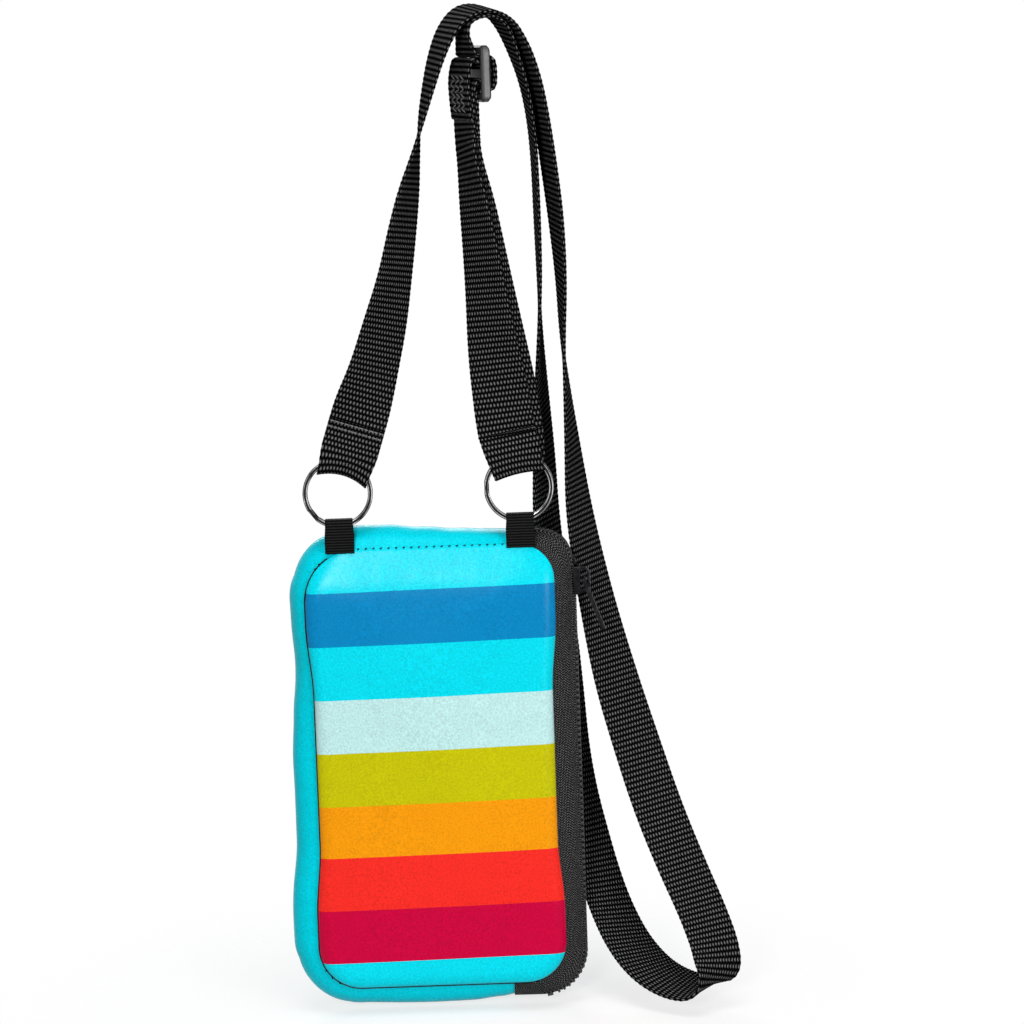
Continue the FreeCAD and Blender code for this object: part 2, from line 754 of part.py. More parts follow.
def route_stations(route):
    """Places along straight runs joined by tangent arcs: point, tangent, width direction."""
    points = [Vector(*item[:3]) for item in route]
    stations = []
    radii = []

    def add(place, tangent, before, after, share):
        heading = before[3] + (after[3] - before[3]) * share
        rise = before[4] + (after[4] - before[4]) * share
        stations.append((place, tangent, unit_width(heading, rise, tangent)))

    first_run = (points[1] - points[0]).normalize()
    add(points[0], first_run, route[0], route[1], 0)
    for index in range(1, len(points) - 1):
        run_in, run_out = points[index] - points[index - 1], points[index + 1] - points[index]
        shorter = min(run_in.Length, run_out.Length)
        run_in.normalize()
        run_out.normalize()
        turn = run_in.getAngle(run_out)
        trim = ARC_RUN_SHARE * shorter
        radii.append(trim / math.tan(turn / 2))
        share_in = 1 - trim / (points[index] - points[index - 1]).Length
        share_out = trim / (points[index + 1] - points[index]).Length
        add(points[index] - run_in * trim, run_in, route[index - 1], route[index], share_in)
        if turn > GENTLE_TURN:
            inward = (run_out - run_in).normalize()
            depth = radii[-1] / math.cos(turn / 2) - radii[-1]
            add(points[index] + inward * depth, (run_in + run_out).normalize(), route[index], route[index], 0)
        add(points[index] + run_out * trim, run_out, route[index], route[index + 1], share_out)
    last_run = (points[-1] - points[-2]).normalize()
    add(points[-1], last_run, route[-2], route[-1], 1)
    return stations, radii


def make_strand(name, route, shift=0):
    """Free webbing along a route, moved along its own normal by a shift."""
    width, cloth = mm("webbing_width"), mm("webbing")
    stations, radii = route_stations(route)
    sections = []
    length = 0
    last = None
    for place, tangent, across in stations:
        normal = tangent.cross(across)
        middle = place + normal * shift
        length += (middle - last).Length if last is not None else 0
        last = middle
        corners = [
            middle + across * (a * width / 2) + normal * (b * cloth / 2)
            for a, b in ((-1, -1), (1, -1), (1, 1), (-1, 1))
        ]
        sections.append(Part.makePolygon(corners + corners[:1]))
    strand = Part.makeLoft(sections, True, True)
    print(name, "length", round(length, 1), "volume over section times length",
          round(strand.Volume / (width * cloth * length), 3))
    print(name, "radii", [round(radius, 1) for radius in radii])
    return solid_feature(name, strand)


adjuster_place = Placement(
    Vector(-mm("adjuster_left"), -mm("adjuster_forward"), -mm("adjuster_drop")),
    Rotation(Vector(0, 0, 1), -mm("adjuster_turn")))


def make_adjuster():
    """Three-bar adjuster: a plate with two slots, a slim middle bar and rounded edges."""
    body = new_body("adjuster_frame")
    wide, high = size("adjuster_width") / 2, size("adjuster_height") / 2
    outline = body_sketch(body, "XZ_Plane")
    rounded_rectangle(outline, (-wide, -high), (wide, high), size("adjuster_corner"))
    slot_wide = wide - size("slot_end")
    slot_low, slot_high = size("adjuster_bar") / 2, high - size("adjuster_rim")
    for side in (-1, 1):
        low, high_edge = (slot_low, slot_high) if side > 0 else (-slot_high, -slot_low)
        rounded_rectangle(outline, (-slot_wide, low), (slot_wide, high_edge), size("adjuster_edge"))
    plate = pad(body, outline, size("adjuster_plate"), both_sides=True)
    face = mm("adjuster_plate") / 2
    on_face = lambda edge: all(abs(abs(v.Y) - face) < Part.Precision.confusion() for v in edge.Vertexes)
    dress_edges(body, plate, size("adjuster_edge"), lambda edge: on_face(edge) and longest(edge), flat=True)
    relief = size("adjuster_plate") / 2 - size("adjuster_bar_plate") / 2
    for side in (-1, 1):
        sketch = body_sketch(body, "XZ_Plane", -side * (size("adjuster_plate") / 2))
        draw(sketch, (-slot_wide, -slot_low), [
            Line(slot_wide, -slot_low), Line(slot_wide, slot_low), Line(-slot_wide, slot_low),
            Line(-slot_wide, -slot_low),
        ])
        pocket = body.newObject("PartDesign::Pocket", "adjuster_relief")
        pocket.Profile = sketch
        pocket.Reversed = side > 0
        pocket.setExpression("Length", relief.formula)
        doc.recompute()
    body.Placement = adjuster_place
    return body


def longest(edge):
    """Whether an edge belongs to the outside of the adjuster."""
    outside = mm("adjuster_width") / 2 - mm("slot_end")
    rim = mm("adjuster_height") / 2 - mm("adjuster_rim")
    return all(abs(v.X) > outside + mm("adjuster_edge") or abs(v.Z) > rim + mm("adjuster_edge")
               for v in edge.Vertexes)


bar_diagonal = root(size("adjuster_bar") * size("adjuster_bar")
                    + size("adjuster_bar_plate") * size("adjuster_bar_plate"))
bar_loop_inner = bar_diagonal / 2 + size("bar_loop_room")
bar_loop_outer = bar_loop_inner + size("webbing")


def make_tail_loop():
    """End of the tail: folded round the middle bar and sewn to itself below it."""
    body = new_body("adjuster_tail_loop")
    sketch = body_sketch(body, "YZ_Plane")
    cloth = size("webbing")
    near = -(size("strand_offset") + cloth / 2 + size("webbing_gap"))
    far = near - cloth * 2
    low = -size("tail_sewn_end")
    near_touch = tangent_point((near, -size("tail_sewn_top")), bar_loop_outer, True)
    far_touch = tangent_point((far, -size("tail_outer_top")), bar_loop_outer, False)
    draw(sketch, (far, low), [
        Line(near, low),
        Line(near, -size("tail_sewn_top")),
        Line(*near_touch),
        Arc(*far_touch, 0, 0, True),
        Line(far, -size("tail_outer_top")),
        Line(far, low),
    ])
    draw_circle(sketch, (0, 0), bar_loop_inner)
    pad(body, sketch, size("webbing_width"), both_sides=True)
    body.Placement = adjuster_place
    return body


def make_wrap():
    """Strap woven through the slots, over the bar and the tail's loop."""
    radius = bar_loop_outer + size("wrap_room") + size("webbing") / 2
    high = (-size("strand_offset"), size("wrap_reach"))
    low = (-size("strand_offset"), -size("wrap_reach"))
    top_touch = tangent_point(high, radius, False)
    low_touch = tangent_point(low, radius, True)
    spot = lambda pair: Vector(0, pair[0].number, pair[1].number)
    lead = (spot(top_touch) - spot(high)).normalize()
    trail = (spot(low) - spot(low_touch)).normalize()
    wide, cloth, reach, join = mm("webbing_width"), mm("webbing"), mm("wrap_reach"), mm("webbing_join")
    begin, finish = spot(high) - lead * 2 * cloth, spot(low) + trail * 2 * cloth
    path = Part.Wire([
        Part.LineSegment(begin, spot(top_touch)).toShape(),
        Part.Arc(spot(top_touch), Vector(0, radius.number, 0), spot(low_touch)).toShape(),
        Part.LineSegment(spot(low_touch), finish).toShape(),
    ])
    normal = lead.cross(Vector(1, 0, 0))
    corners = [
        begin + Vector(a * wide / 2, 0, 0) + normal * (b * cloth / 2)
        for a, b in ((-1, -1), (1, -1), (1, 1), (-1, 1))
    ]
    band = path.makePipeShell([Part.makePolygon(corners + corners[:1])], True, False)
    level = Part.makeBox(2 * wide, 2 * wide, 2 * reach - join, Vector(-wide, -wide, join - reach))
    return solid_feature("adjuster_wrap", band.common(level), adjuster_place)


def strand_point(reach):
    """Middle of the strap beside the adjuster, at a height from its middle bar."""
    offset = mm("strand_offset")
    place = adjuster_place.multVec(Vector(0, -offset, reach))
    return (place.x, place.y, place.z, -mm("adjuster_turn"), 0)


def pair_point(reach):
    """Middle between the strap and its tail under the adjuster."""
    offset = mm("strand_offset") + (mm("webbing") + mm("webbing_gap")) / 2
    place = adjuster_place.multVec(Vector(0, -offset, reach))
    return (place.x, place.y, place.z, -mm("adjuster_turn"), 0)


layer_shift = (mm("webbing") + mm("webbing_gap")) / 2
join, lead = mm("webbing_join"), mm("end_lead")
left_ends = [
    end_point("left", mm("left_lean"), mm("left_end_length") + reach, layer_shift) for reach in (join, lead)
]
right_ends = [end_point("right", -mm("right_lean"), mm("right_end_length") + reach) for reach in (lead, join)]
upper_end = strand_point(mm("wrap_reach") + join)
upper_end = (*upper_end[:3], upper_end[3] + 180, 0)
upper_start = (*LONG_ROUTE[-1][:2], LONG_ROUTE[-1][2] - join, *LONG_ROUTE[-1][3:])
below_tail = pair_point(-mm("tail_sewn_end") - lead)
right_route = [pair_point(-mm("wrap_reach") - join), below_tail] + RIGHT_ROUTE + right_ends
tail_route = [pair_point(-mm("tail_sewn_end") - join), below_tail] + RIGHT_ROUTE + right_ends

parts = [
    make_panel("front_panel", -1),
    make_panel("back_panel", 1),
    make_gusset(),
    make_tape("zip_tape_front", -half_depth, -size("tape_gap") / 2),
    make_tape("zip_tape_back", size("tape_gap") / 2, half_depth),
    make_coil("zip_coil_front", -1),
    make_coil("zip_coil_back", 1),
    make_stop("zip_top_stops", -mm("slider_length") / 2 - mm("stop_length"), [
        (-mm("tape_gap") / 2 - mm("stop_width"), -mm("tape_gap") / 2),
        (mm("tape_gap") / 2, mm("tape_gap") / 2 + mm("stop_width")),
    ]),
    make_stop("zip_bottom_stop", zip_length() + mm("stop_length") / 2, [
        (-mm("tape_gap") / 2 - mm("stop_width"), mm("tape_gap") / 2 + mm("stop_width")),
    ]),
    make_end_cover(),
    make_slider(),
    make_pull(),
    make_tab("left"),
    make_tab("right"),
    make_ring("left", 150),
    make_ring("right", 190),
    make_strap_end("left", mm("left_lean"), mm("left_end_length")),
    make_strap_end("right", -mm("right_lean"), mm("right_end_length")),
    make_strand("strap_long", left_ends + LONG_ROUTE),
    make_strand("strap_upper", [upper_start, upper_end]),
    make_strand("strap_right", right_route, -layer_shift),
    make_strand("strap_tail", tail_route, layer_shift),
    make_adjuster(),
    make_wrap(),
    make_tail_loop(),
]
doc.recompute()

for item in doc.Objects:
    if "Invalid" in item.State or "Error" in item.State:
        raise RuntimeError(f"{item.Name} failed: {item.State}")
for part in parts:
    if part.Shape.isNull() or not part.Shape.isValid() or not part.Shape.Solids:
        raise RuntimeError(f"{part.Label} has no valid solid")

os.makedirs("parts", exist_ok=True)
for part in parts:
    part.Shape.exportStep(f"parts/{part.Label}.step")
    box = part.Shape.BoundBox
    print(part.Label, len(part.Shape.Solids), "solids", round(part.Shape.Volume, 1), "mm3",
          [round(v, 1) for v in (box.XMin, box.XMax, box.YMin, box.YMax, box.ZMin, box.ZMax)])
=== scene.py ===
import json
import math

import bpy
from bpy.props import FloatProperty, FloatVectorProperty, PointerProperty
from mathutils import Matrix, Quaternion, Vector


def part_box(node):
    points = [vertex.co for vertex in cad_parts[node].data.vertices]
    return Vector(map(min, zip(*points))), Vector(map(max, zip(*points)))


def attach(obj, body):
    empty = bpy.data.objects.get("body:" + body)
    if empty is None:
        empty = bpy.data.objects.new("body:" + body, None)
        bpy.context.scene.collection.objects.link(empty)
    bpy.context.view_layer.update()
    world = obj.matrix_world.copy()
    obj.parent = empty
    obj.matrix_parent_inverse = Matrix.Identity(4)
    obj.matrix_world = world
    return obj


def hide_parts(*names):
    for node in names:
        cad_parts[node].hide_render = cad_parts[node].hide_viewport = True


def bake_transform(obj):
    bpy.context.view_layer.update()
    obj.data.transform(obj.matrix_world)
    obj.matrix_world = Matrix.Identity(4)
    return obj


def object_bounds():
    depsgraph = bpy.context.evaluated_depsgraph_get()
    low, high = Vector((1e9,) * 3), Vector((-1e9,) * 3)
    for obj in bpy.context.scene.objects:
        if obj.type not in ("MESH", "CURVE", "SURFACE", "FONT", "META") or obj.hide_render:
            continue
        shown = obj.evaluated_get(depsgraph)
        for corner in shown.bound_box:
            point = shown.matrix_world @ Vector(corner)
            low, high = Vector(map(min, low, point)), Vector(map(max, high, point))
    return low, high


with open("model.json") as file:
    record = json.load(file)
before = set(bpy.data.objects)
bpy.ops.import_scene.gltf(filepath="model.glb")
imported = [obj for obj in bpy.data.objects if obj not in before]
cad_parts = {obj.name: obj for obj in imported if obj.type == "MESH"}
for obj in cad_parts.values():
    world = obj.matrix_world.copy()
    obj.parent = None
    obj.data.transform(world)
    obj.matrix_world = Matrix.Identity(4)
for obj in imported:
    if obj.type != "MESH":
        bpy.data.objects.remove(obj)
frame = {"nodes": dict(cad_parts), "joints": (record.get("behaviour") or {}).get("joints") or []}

bl_info = {
    "name": "Phone pouch",
    "version": (1, 0, 0),
    "blender": (4, 5, 0),
    "location": "View3D > Sidebar > Pouch",
    "description": "Neoprene, zip, ribbon and webbing of a phone pouch, built round its packed part",
    "category": "Add Mesh",
}

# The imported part's box and the places that the soft pieces are built on
CAD_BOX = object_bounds()
MM = 0.001
MERGE_DISTANCE = MM * MM
RIGHT = Vector((1, 0, 0))
BACK = Vector((0, 1, 0))
UP = Vector((0, 0, 1))
PANEL_LOW, PANEL_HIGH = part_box("front_panel")
PANEL_MIDDLE = (PANEL_LOW + PANEL_HIGH) / 2
PANEL_HALF = (PANEL_HIGH - PANEL_LOW) / 2
WALL_HALF = -PANEL_HIGH.y
GUSSET_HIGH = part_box("gusset")[1]
BULGE = GUSSET_HIGH.z - PANEL_HIGH.z
BULGE_RADIUS = (WALL_HALF ** 2 + BULGE ** 2) / (2 * BULGE)
COVER_LOW, COVER_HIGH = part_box("zip_end_cover")
SEAM_CORNER = PANEL_HIGH.x - GUSSET_HIGH.x
JOINTS = {joint["name"]: joint for joint in frame["joints"]}
RING_PLACES = {side: Vector(JOINTS[f"ring_{side}_turn"]["pos_m"]) for side in ("left", "right")}

# Routes of the webbing: x, y, z in millimetres, then the heading and rise of its width in degrees
LONG_ROUTE = [
    (-48.18, -7.75, -139.44, 0, 0), (-46.42, -7.75, -134.02, 10, 0), (-42.1, -7.7, -121.9, 32, 0),
    (-37.2, -7.2, -105, 42, 0), (-33.1, -6.8, -88.5, 56, 0), (-29.9, -6.4, -72, 63, 0),
    (-27.2, -6, -59, 71, 0), (-24.6, -5.7, -47.4, 84, 0), (-22.1, -5.4, -35.1, 95, 0),
    (-19.3, -5.2, -24.2, 101, 0), (-16.4, -5, -14.1, 105, 2), (-12.4, -4.4, -4.6, 108, 4),
    (-6.1, -2.2, 2, 110, 6), (1.4, 0.5, 2.7, 110, 6), (7.6, 2.8, -1.1, 110, 5), (11.6, 3.8, -8, 109, 3),
    (14.6, 4.4, -15, 107, 0), (17.6, 5, -25, 105, 0), (19.9, 5.8, -39, 104, 0), (21.8, 7, -55, 104, 0),
    (23.5, 8.5, -72.1, 103, 0), (24.6, 10.5, -93.3, 98, 0), (24.3, 12.5, -114.7, 92, 0),
    (25.3, 14, -132.6, 85, 0), (26.6, 15, -152.3, 76, 0), (28, 15.5, -173.9, 64, 0),
    (30.9, 15.6, -193.7, 57, 0), (34.9, 15, -215.4, 49, 0), (39.8, 12.5, -237.6, 38, 0),
    (45.8, 8, -258.7, 33, 0), (52.7, 1.5, -281.5, 30, 0), (60.3, -6, -301.1, 30, 0),
    (66.6, -13, -315.6, 32, 0), (70.8, -18.5, -327.5, 35, 4), (71.6, -22, -336.5, 40, 9),
    (67, -20.5, -342.4, 43, 12), (58.5, -15, -342.6, 43, 12), (49, -6.5, -339, 42, 8),
    (41.2, 6, -331.8, 42, 3), (35.6, 16.5, -321.6, 42, 0), (31.6, 22.5, -310, 43, 0),
    (28.2, 26.5, -296.5, 44, 0), (25, 29, -282, 46, 0), (22.7, 30.5, -265, 48, 0),
    (22, 31.3, -245, 52, 0), (20.9, 31.4, -223.5, 56, 0), (18.4, 30.6, -201.5, 60, 0),
    (16.6, 29.3, -180, 63, 0), (16.6, 26.5, -158.4, 68, 0), (16.2, 22.6, -136.5, 76, 0),
    (16.4, 17.5, -114.9, 86, 0), (17, 14.5, -93.4, 92, 0), (16.9, 11.5, -72.1, 94, 0),
    (16.7, 9, -54, 94, 0), (16, 7, -38.5, 95, 0), (14, 5.2, -25, 96, 0), (10.8, 3.8, -14, 99, 2),
    (7.2, 2.4, -4, 105, 5), (2.5, 0.9, 0.75, 108, 6), (-3.4, -1.2, 0.75, 106, 6),
    (-7.3, -2.5, -3.3, 101, 4), (-6.7, -2.35, -7.6, 103, 0),
]
UPPER_ROUTE = [(-6.7, -2.35, -7.6, 103, 0), (-6.3, -2.25, -10.3, 106, 0), (-5.74, -2.09, -12.9, 110, 0)]
MAIN_ROUTE = [
    (-6.45, -2.35, -26.7, -70, 0), (-6.4, -2.6, -41.3, -71, 0), (-5.8, -5, -49.5, -72, 0),
    (-3.2, -7.2, -64.7, -61, 0), (-1.2, -7.75, -81.3, -53, 0), (0.8, -8.45, -98, -44, 0),
    (2.75, -8.75, -114.7, -30, 0), (4.85, -8.55, -131.6, -10, 0), (5.65, -8.6, -137.94, -2, 0),
    (6.55, -8.5, -144.9, 0, 3),
]
TAIL_ROUTE = [
    (-6.45, -2.35, -35.3, -70, 0), (-6.5, -2.5, -41.3, -71, 0), (-6.15, -3.9, -49.5, -72, 0),
    (-4.35, -5.1, -64.7, -61, 0), (-2.6, -5.9, -81.3, -53, 0), (-1.1, -6.6, -98, -44, 0),
    (0.25, -7.3, -114.7, -30, 0), (2.3, -8.1, -131.6, -10, 0), (2.75, -8.5, -137.94, -2, 0),
    (3.7, -8.5, -144.9, 0, 3),
]
UPPER_POINTS = (Vector(UPPER_ROUTE[0][:3]) * MM, Vector(UPPER_ROUTE[-1][:3]) * MM)
RIGHT_POINTS = (Vector(TAIL_ROUTE[0][:3]) * MM, Vector(TAIL_ROUTE[-1][:3]) * MM)
# Fold of the webbing over the ring's wire, front to back: depth from the ring, height over its centre
LEFT_FOLD = [
    (-0.75, 25), (-0.75, 22), (-0.95, 18), (-2.2, 14.5), (-2.6, 12), (-2.6, 9.8), (-1.7, 8.4),
    (1.7, 8.4), (2.6, 9.8), (2.6, 12), (2.2, 14.5), (0.95, 18), (0.75, 22), (0.75, 25.3),
]
RIGHT_FOLD = [
    (-0.75, 20.2), (-0.75, 18.5), (-1, 16.5), (-2.2, 14), (-2.6, 12), (-2.6, 9.8), (-1.7, 8.4),
    (1.7, 8.4), (2.6, 9.8), (2.6, 12), (2.2, 14), (1, 16.5), (0.75, 18.5), (0.75, 20.2),
]
# Ribbon tab round the lower wire of a ring: depth and height from the axis of its fold
TAB_FOLD = [
    (-2.6, -10.2), (-2.7, -8), (-2.9, -3.5), (-2.5, -0.4), (-1.5, 1.5), (1.5, 1.5), (2.6, -0.5), (2.6, -2.5),
    (-1.4, -7.5), (-1.9, -10),
]
# Strap over the adjuster's bar, and the tail's loop under it: depth and height from the bar
WRAP_FOLD = [
    (-2.6, 6.9), (-2.6, 6.5), (-1.9, 6.1), (1.8, 6), (4.2, 4.6), (4.5, 0), (4.2, -4.6), (1.8, -6),
    (-1.9, -6.1), (-2.6, -6.5), (-2.6, -6.9),
]
TAIL_FOLD = [
    (-4.1, -15.5), (-4.1, -10), (-3.9, -5.2), (-1.7, -2.1), (2.4, -2.1), (2.4, 2.1), (-0.7, 2.9),
    (-3.9, 6), (-5.8, -1.5), (-5.6, -8), (-5.2, -13), (-4.9, -15.8),
]
# Stripes from the top down: height of the upper edge in millimetres, and the colour
STRIPES = [
    (0, "cyan"), (-197.6, "blue"), (-216.75, "cyan"), (-235.6, "mint"), (-254.4, "lime"), (-273.5, "orange"),
    (-292.05, "coral"), (-310.9, "crimson"), (-330.25, "cyan"),
]
STRIPE_TILT = math.radians(0.75)
# Rows of a panel near its edge, in millimetres from the edge, and the rows between
EDGE_ROWS = (0, 0.1, 0.35, 0.8, 1.4, 2.2, 3.2, 4.4, 6, 8, 10.5, 13.5)
INNER_ROWS = 14
# Extra bulge of the side wall in millimetres at shares of its run: the gusset, and the zip from the bottom up
GUSSET_FULL_SHARES = [
    (0, -2.8), (0.05, -2.5), (0.08, -1.9), (0.12, -0.5), (0.16, 1), (0.2, 1.2), (0.27, 0.4), (0.36, 0.3),
    (0.44, 1.6), (0.5, 2.4), (0.58, 2.9), (0.65, 3.3), (0.71, 3.7), (0.76, 3.4), (0.8, 2.2), (0.92, 1.8),
    (0.955, 0.9), (0.97, 0.2), (1, 0),
]
ZIP_FULL_SHARES = [(0, 0), (0.94, 0), (1, -2.8)]
# How much of its height the edge roll keeps at a panel's top
TOP_LEAN_SHARE = 0.25
# Where the side wall's waves give way to gathers, across its half width, and how far a tucked edge drops
GATHER_SHARES = (0.55, 0.95)
TUCK_DROP_SHARE = 0.5
# Slow waves of the panels and the side wall: radians per metre, and the turn at which each starts
PANEL_WAVES = ((95, 1.3), (61, 0.4))
WALL_WAVES = ((47, 0.6), (101, 0))
SECOND_WAVE_SHARE = 0.6
# How much of the gusset's waves the zip tapes and the cloth over the zip's end have
TAPE_WAVE_SHARE = 0.35
COVER_WAVE_SHARE = 0.2
# How much the folded ribbon and the folded webbing narrow where a ring holds them
TAB_NARROWING_SHARE = 0.06
FOLD_NARROWING_SHARE = 0.11
# Painted highlight lines of a ring, from the middle of its wire to its edge: start, full, fade and end
RING_HIGHLIGHT_SHARES = (0.38, 0.5, 0.68, 0.82)
# Where the painted sheen on the adjuster's sides starts and is full, from its middle to its side
SIDE_SHEEN_SHARES = (0.965, 0.995)
# Steps of the meshes, along a run and across a strip
BEND_STEPS = 18
WALL_STEPS = 16
COVER_STEPS = 14
COVER_RUN_STEPS = 8
ROUTE_STEPS = 40
UPPER_STEPS = 8
FOLD_STEPS = 12
TAB_STEPS = 10
WEBBING_COLUMNS = 8
FOLD_COLUMNS = 14
TAB_COLUMNS = 6
# Softened edges of the rigid nodes, in millimetres
NODE_EDGES = {
    "zip_slider": 0.25, "zip_pull": 0.4, "zip_top_stops": 0.25, "zip_bottom_stop": 0.2, "zip_coil_front": 0.2,
    "zip_coil_back": 0.2, "ring_left": 0.5, "ring_right": 0.5, "adjuster_frame": 0.3,
}
# Noise in the finishes: its scale per metre, and its detail
NOISES = {
    "knit": (1500, 3), "blotch": (160, 2), "webbing": (3000, 2), "tape": (2400, 2), "ribbon": (4000, 2),
    "metal_patch": (420, 4), "scratch": (2600, 2), "ring_patch": (170, 2), "plastic": (2200, 3),
    # The wear noise breaks the adjuster's painted sheen into patches
    "wear": (700, 3), "twist": (5000, 1),
}
# Depth of the relief in the finishes, in millimetres
RELIEFS = {
    "knit": 0.15, "blotch": 0.6, "webbing": 0.6, "tape": 0.3, "ribbon": 0.2, "scratch": 0.03, "plastic": 0.06,
    "twist": 0.1,
}
# Lamps: place and width in metres, and power in watts
LAMPS = {
    "key_lamp": ((-0.3, -1.62, 0.19), 0.25, 14.2),
    "fill_lamp": ((0.4, -0.64, -0.2), 0.25, 2),
    "top_lamp": ((0, -0.45, 1.2), 0.9, 10.4),
    "back_lamp": ((-0.3, 1.45, 0.55), 0.8, 10),
}


def length(name, description, default):
    """A length that a user may change."""
    return FloatProperty(name=name, description=description, default=default, precision=5, unit="LENGTH")


def colour(name, description, default):
    """A colour that a user may change."""
    return FloatVectorProperty(
        name=name, description=description, default=default, min=0, max=1, subtype="COLOR")


def angle(name, description, default):
    """An angle that a user may change, given in degrees."""
    return FloatProperty(name=name, description=description, default=math.radians(default), subtype="ANGLE")


class ShellSizes(bpy.types.PropertyGroup):
    """Sizes of the neoprene shell and the cloth of its zip."""
    neoprene: length("Neoprene", "Thickness of the neoprene", 0.0024)
    roll_width: length("Edge roll", "Width over which a panel's edge turns into the seam", 0.0052)
    roll_rise: length("Roll height", "Height of a panel's face over the seam", 0.0028)
    top_roll: length("Top roll", "Height over which a panel leans back towards its top seam", 0.017)
    crown: length("Crown", "How far the middle of a panel stands out", 0.001)
    panel_lift: length("Panel lift", "Height of a panel's edge over the wall", 0.0004)
    panel_wave: length("Panel wave", "Height of the slow waves in a panel", 0.0003)
    top_left_corner: length("Top left corner", "Radius of the panels' upper corner at the gusset", 0.0185)
    top_right_corner: length("Top right corner", "Radius of the panels' upper corner at the zip", 0.013)
    low_left_corner: length("Lower left corner", "Radius of the panels' lower corner at the gusset", 0.015)
    low_right_corner: length("Lower right corner", "Radius of the panels' lower corner at the zip", 0.0145)
    waist: length("Waist", "How far the panels' sides pull in between their corners", 0.0019)
    waist_end: length("Waist end", "Distance from the ends to the waist, and over which it pulls in", 0.026)
    wave: length("Wave", "Height of the slow waves in the gusset", 0.0005)
    pucker: length("Pucker", "Height of the small gathers along the seams", 0.00014)
    pucker_pitch: length("Pucker pitch", "Distance between gathers along a seam", 0.0052)
    tuck: length("Tuck", "How far the wall's edge goes in under a panel", 0.0005)
    seam_spacing: length("Seam spacing", "Distance between rows of the wall's mesh", 0.0013)
    tape: length("Zip tape", "Thickness of the zip tapes", 0.0008)
    tape_gap: length("Tape gap", "Distance between the two zip tapes", 0.0018)
    tape_hold: length("Tape hold", "Distance from the middle where the tapes keep their own line", 0.0035)
    twill_strand: length("Twill strand", "Width of one strand of the tapes' twill", 0.0006)
    twill_rib: length("Twill rib", "Distance between the ribs of the tapes' twill", 0.0009)
    selvedge: length("Selvedge", "Height of the tapes' woven edge under the teeth", 0.0009)
    selvedge_width: length("Selvedge width", "Width of the tapes' woven edge", 0.0022)
    cover: length("Zip end cloth", "Thickness of the cloth over the zip's lower end", 0.0008)
    cover_lift: length("Cloth lift", "Height of that cloth over the wall", 0.00085)
    ribbon: length("Ribbon", "Thickness of the ribbon tabs", 0.0007)
    ribbon_width: length("Ribbon width", "Width of the ribbon tabs", 0.0102)
    ribbon_rib: length("Ribbon rib", "Distance between the ribs of the ribbon", 0.00095)
    ribbon_edge: length("Ribbon edge", "Width over which the ribbon's edges are rounded", 0.0002)
    ring_wire: length("Ring wire", "Width of the split rings' wire", 0.0017)
    # Partly painted shadow: the dark cord in the seams stands for the thread and for the shade in the seam's
    # gap
    seam_thread: length("Seam thread", "Radius of the thread that shows in the seams", 0.0003)
    seam_depth: length("Seam depth", "Distance of that thread from the wall's edge", 0.0005)


class StrapSizes(bpy.types.PropertyGroup):
    """Sizes of the webbing and its sewing."""
    width: length("Webbing width", "Width of the webbing", 0.02)
    gauge: length("Webbing gauge", "Thickness of the webbing", 0.0012)
    edge: length("Webbing edge", "Width over which the webbing's edges are rounded", 0.0004)
    rib_pitch: length("Rib pitch", "Distance between the rows of the weave", 0.0019)
    float_width: length("Float width", "Width of one float of the weave", 0.00125)
    rib_height: length("Rib height", "Height of the rows of the weave", 0.00007)
    layer_gap: length("Layer gap", "Distance between two layers of webbing", 0.0003)
    left_lean: angle("Left lean", "Lean of the left end of the strap", 18)
    right_lean: angle("Right lean", "Lean of the right end of the strap", -10.5)
    left_sag: length("Left sag", "How far the left fold hangs under its ring's wire", 0.0012)
    left_arch: length("Left arch", "How far the edges of the left fold hang under its middle", 0.003)
    right_sag: length("Right sag", "How far the right fold hangs under its ring's wire", 0.0032)
    right_arch: length("Right arch", "How far the edges of the right fold hang under its middle", 0.0012)
    right_slip: length("Right slip", "How far the right fold's back layer stands beside its front", 0.0029)
    free_height: length("Free height", "Height over a ring's middle where its fold is full width", 0.016)
    held_height: length("Held height", "Height over a ring's middle where its fold is narrowest", 0.009)
    long_length: length("Long strand", "Length of the free strand", 0.92)
    stitch_length: length("Stitch length", "Length of one stitch", 0.0017)
    stitch_width: length("Stitch width", "Width of the thread", 0.00055)


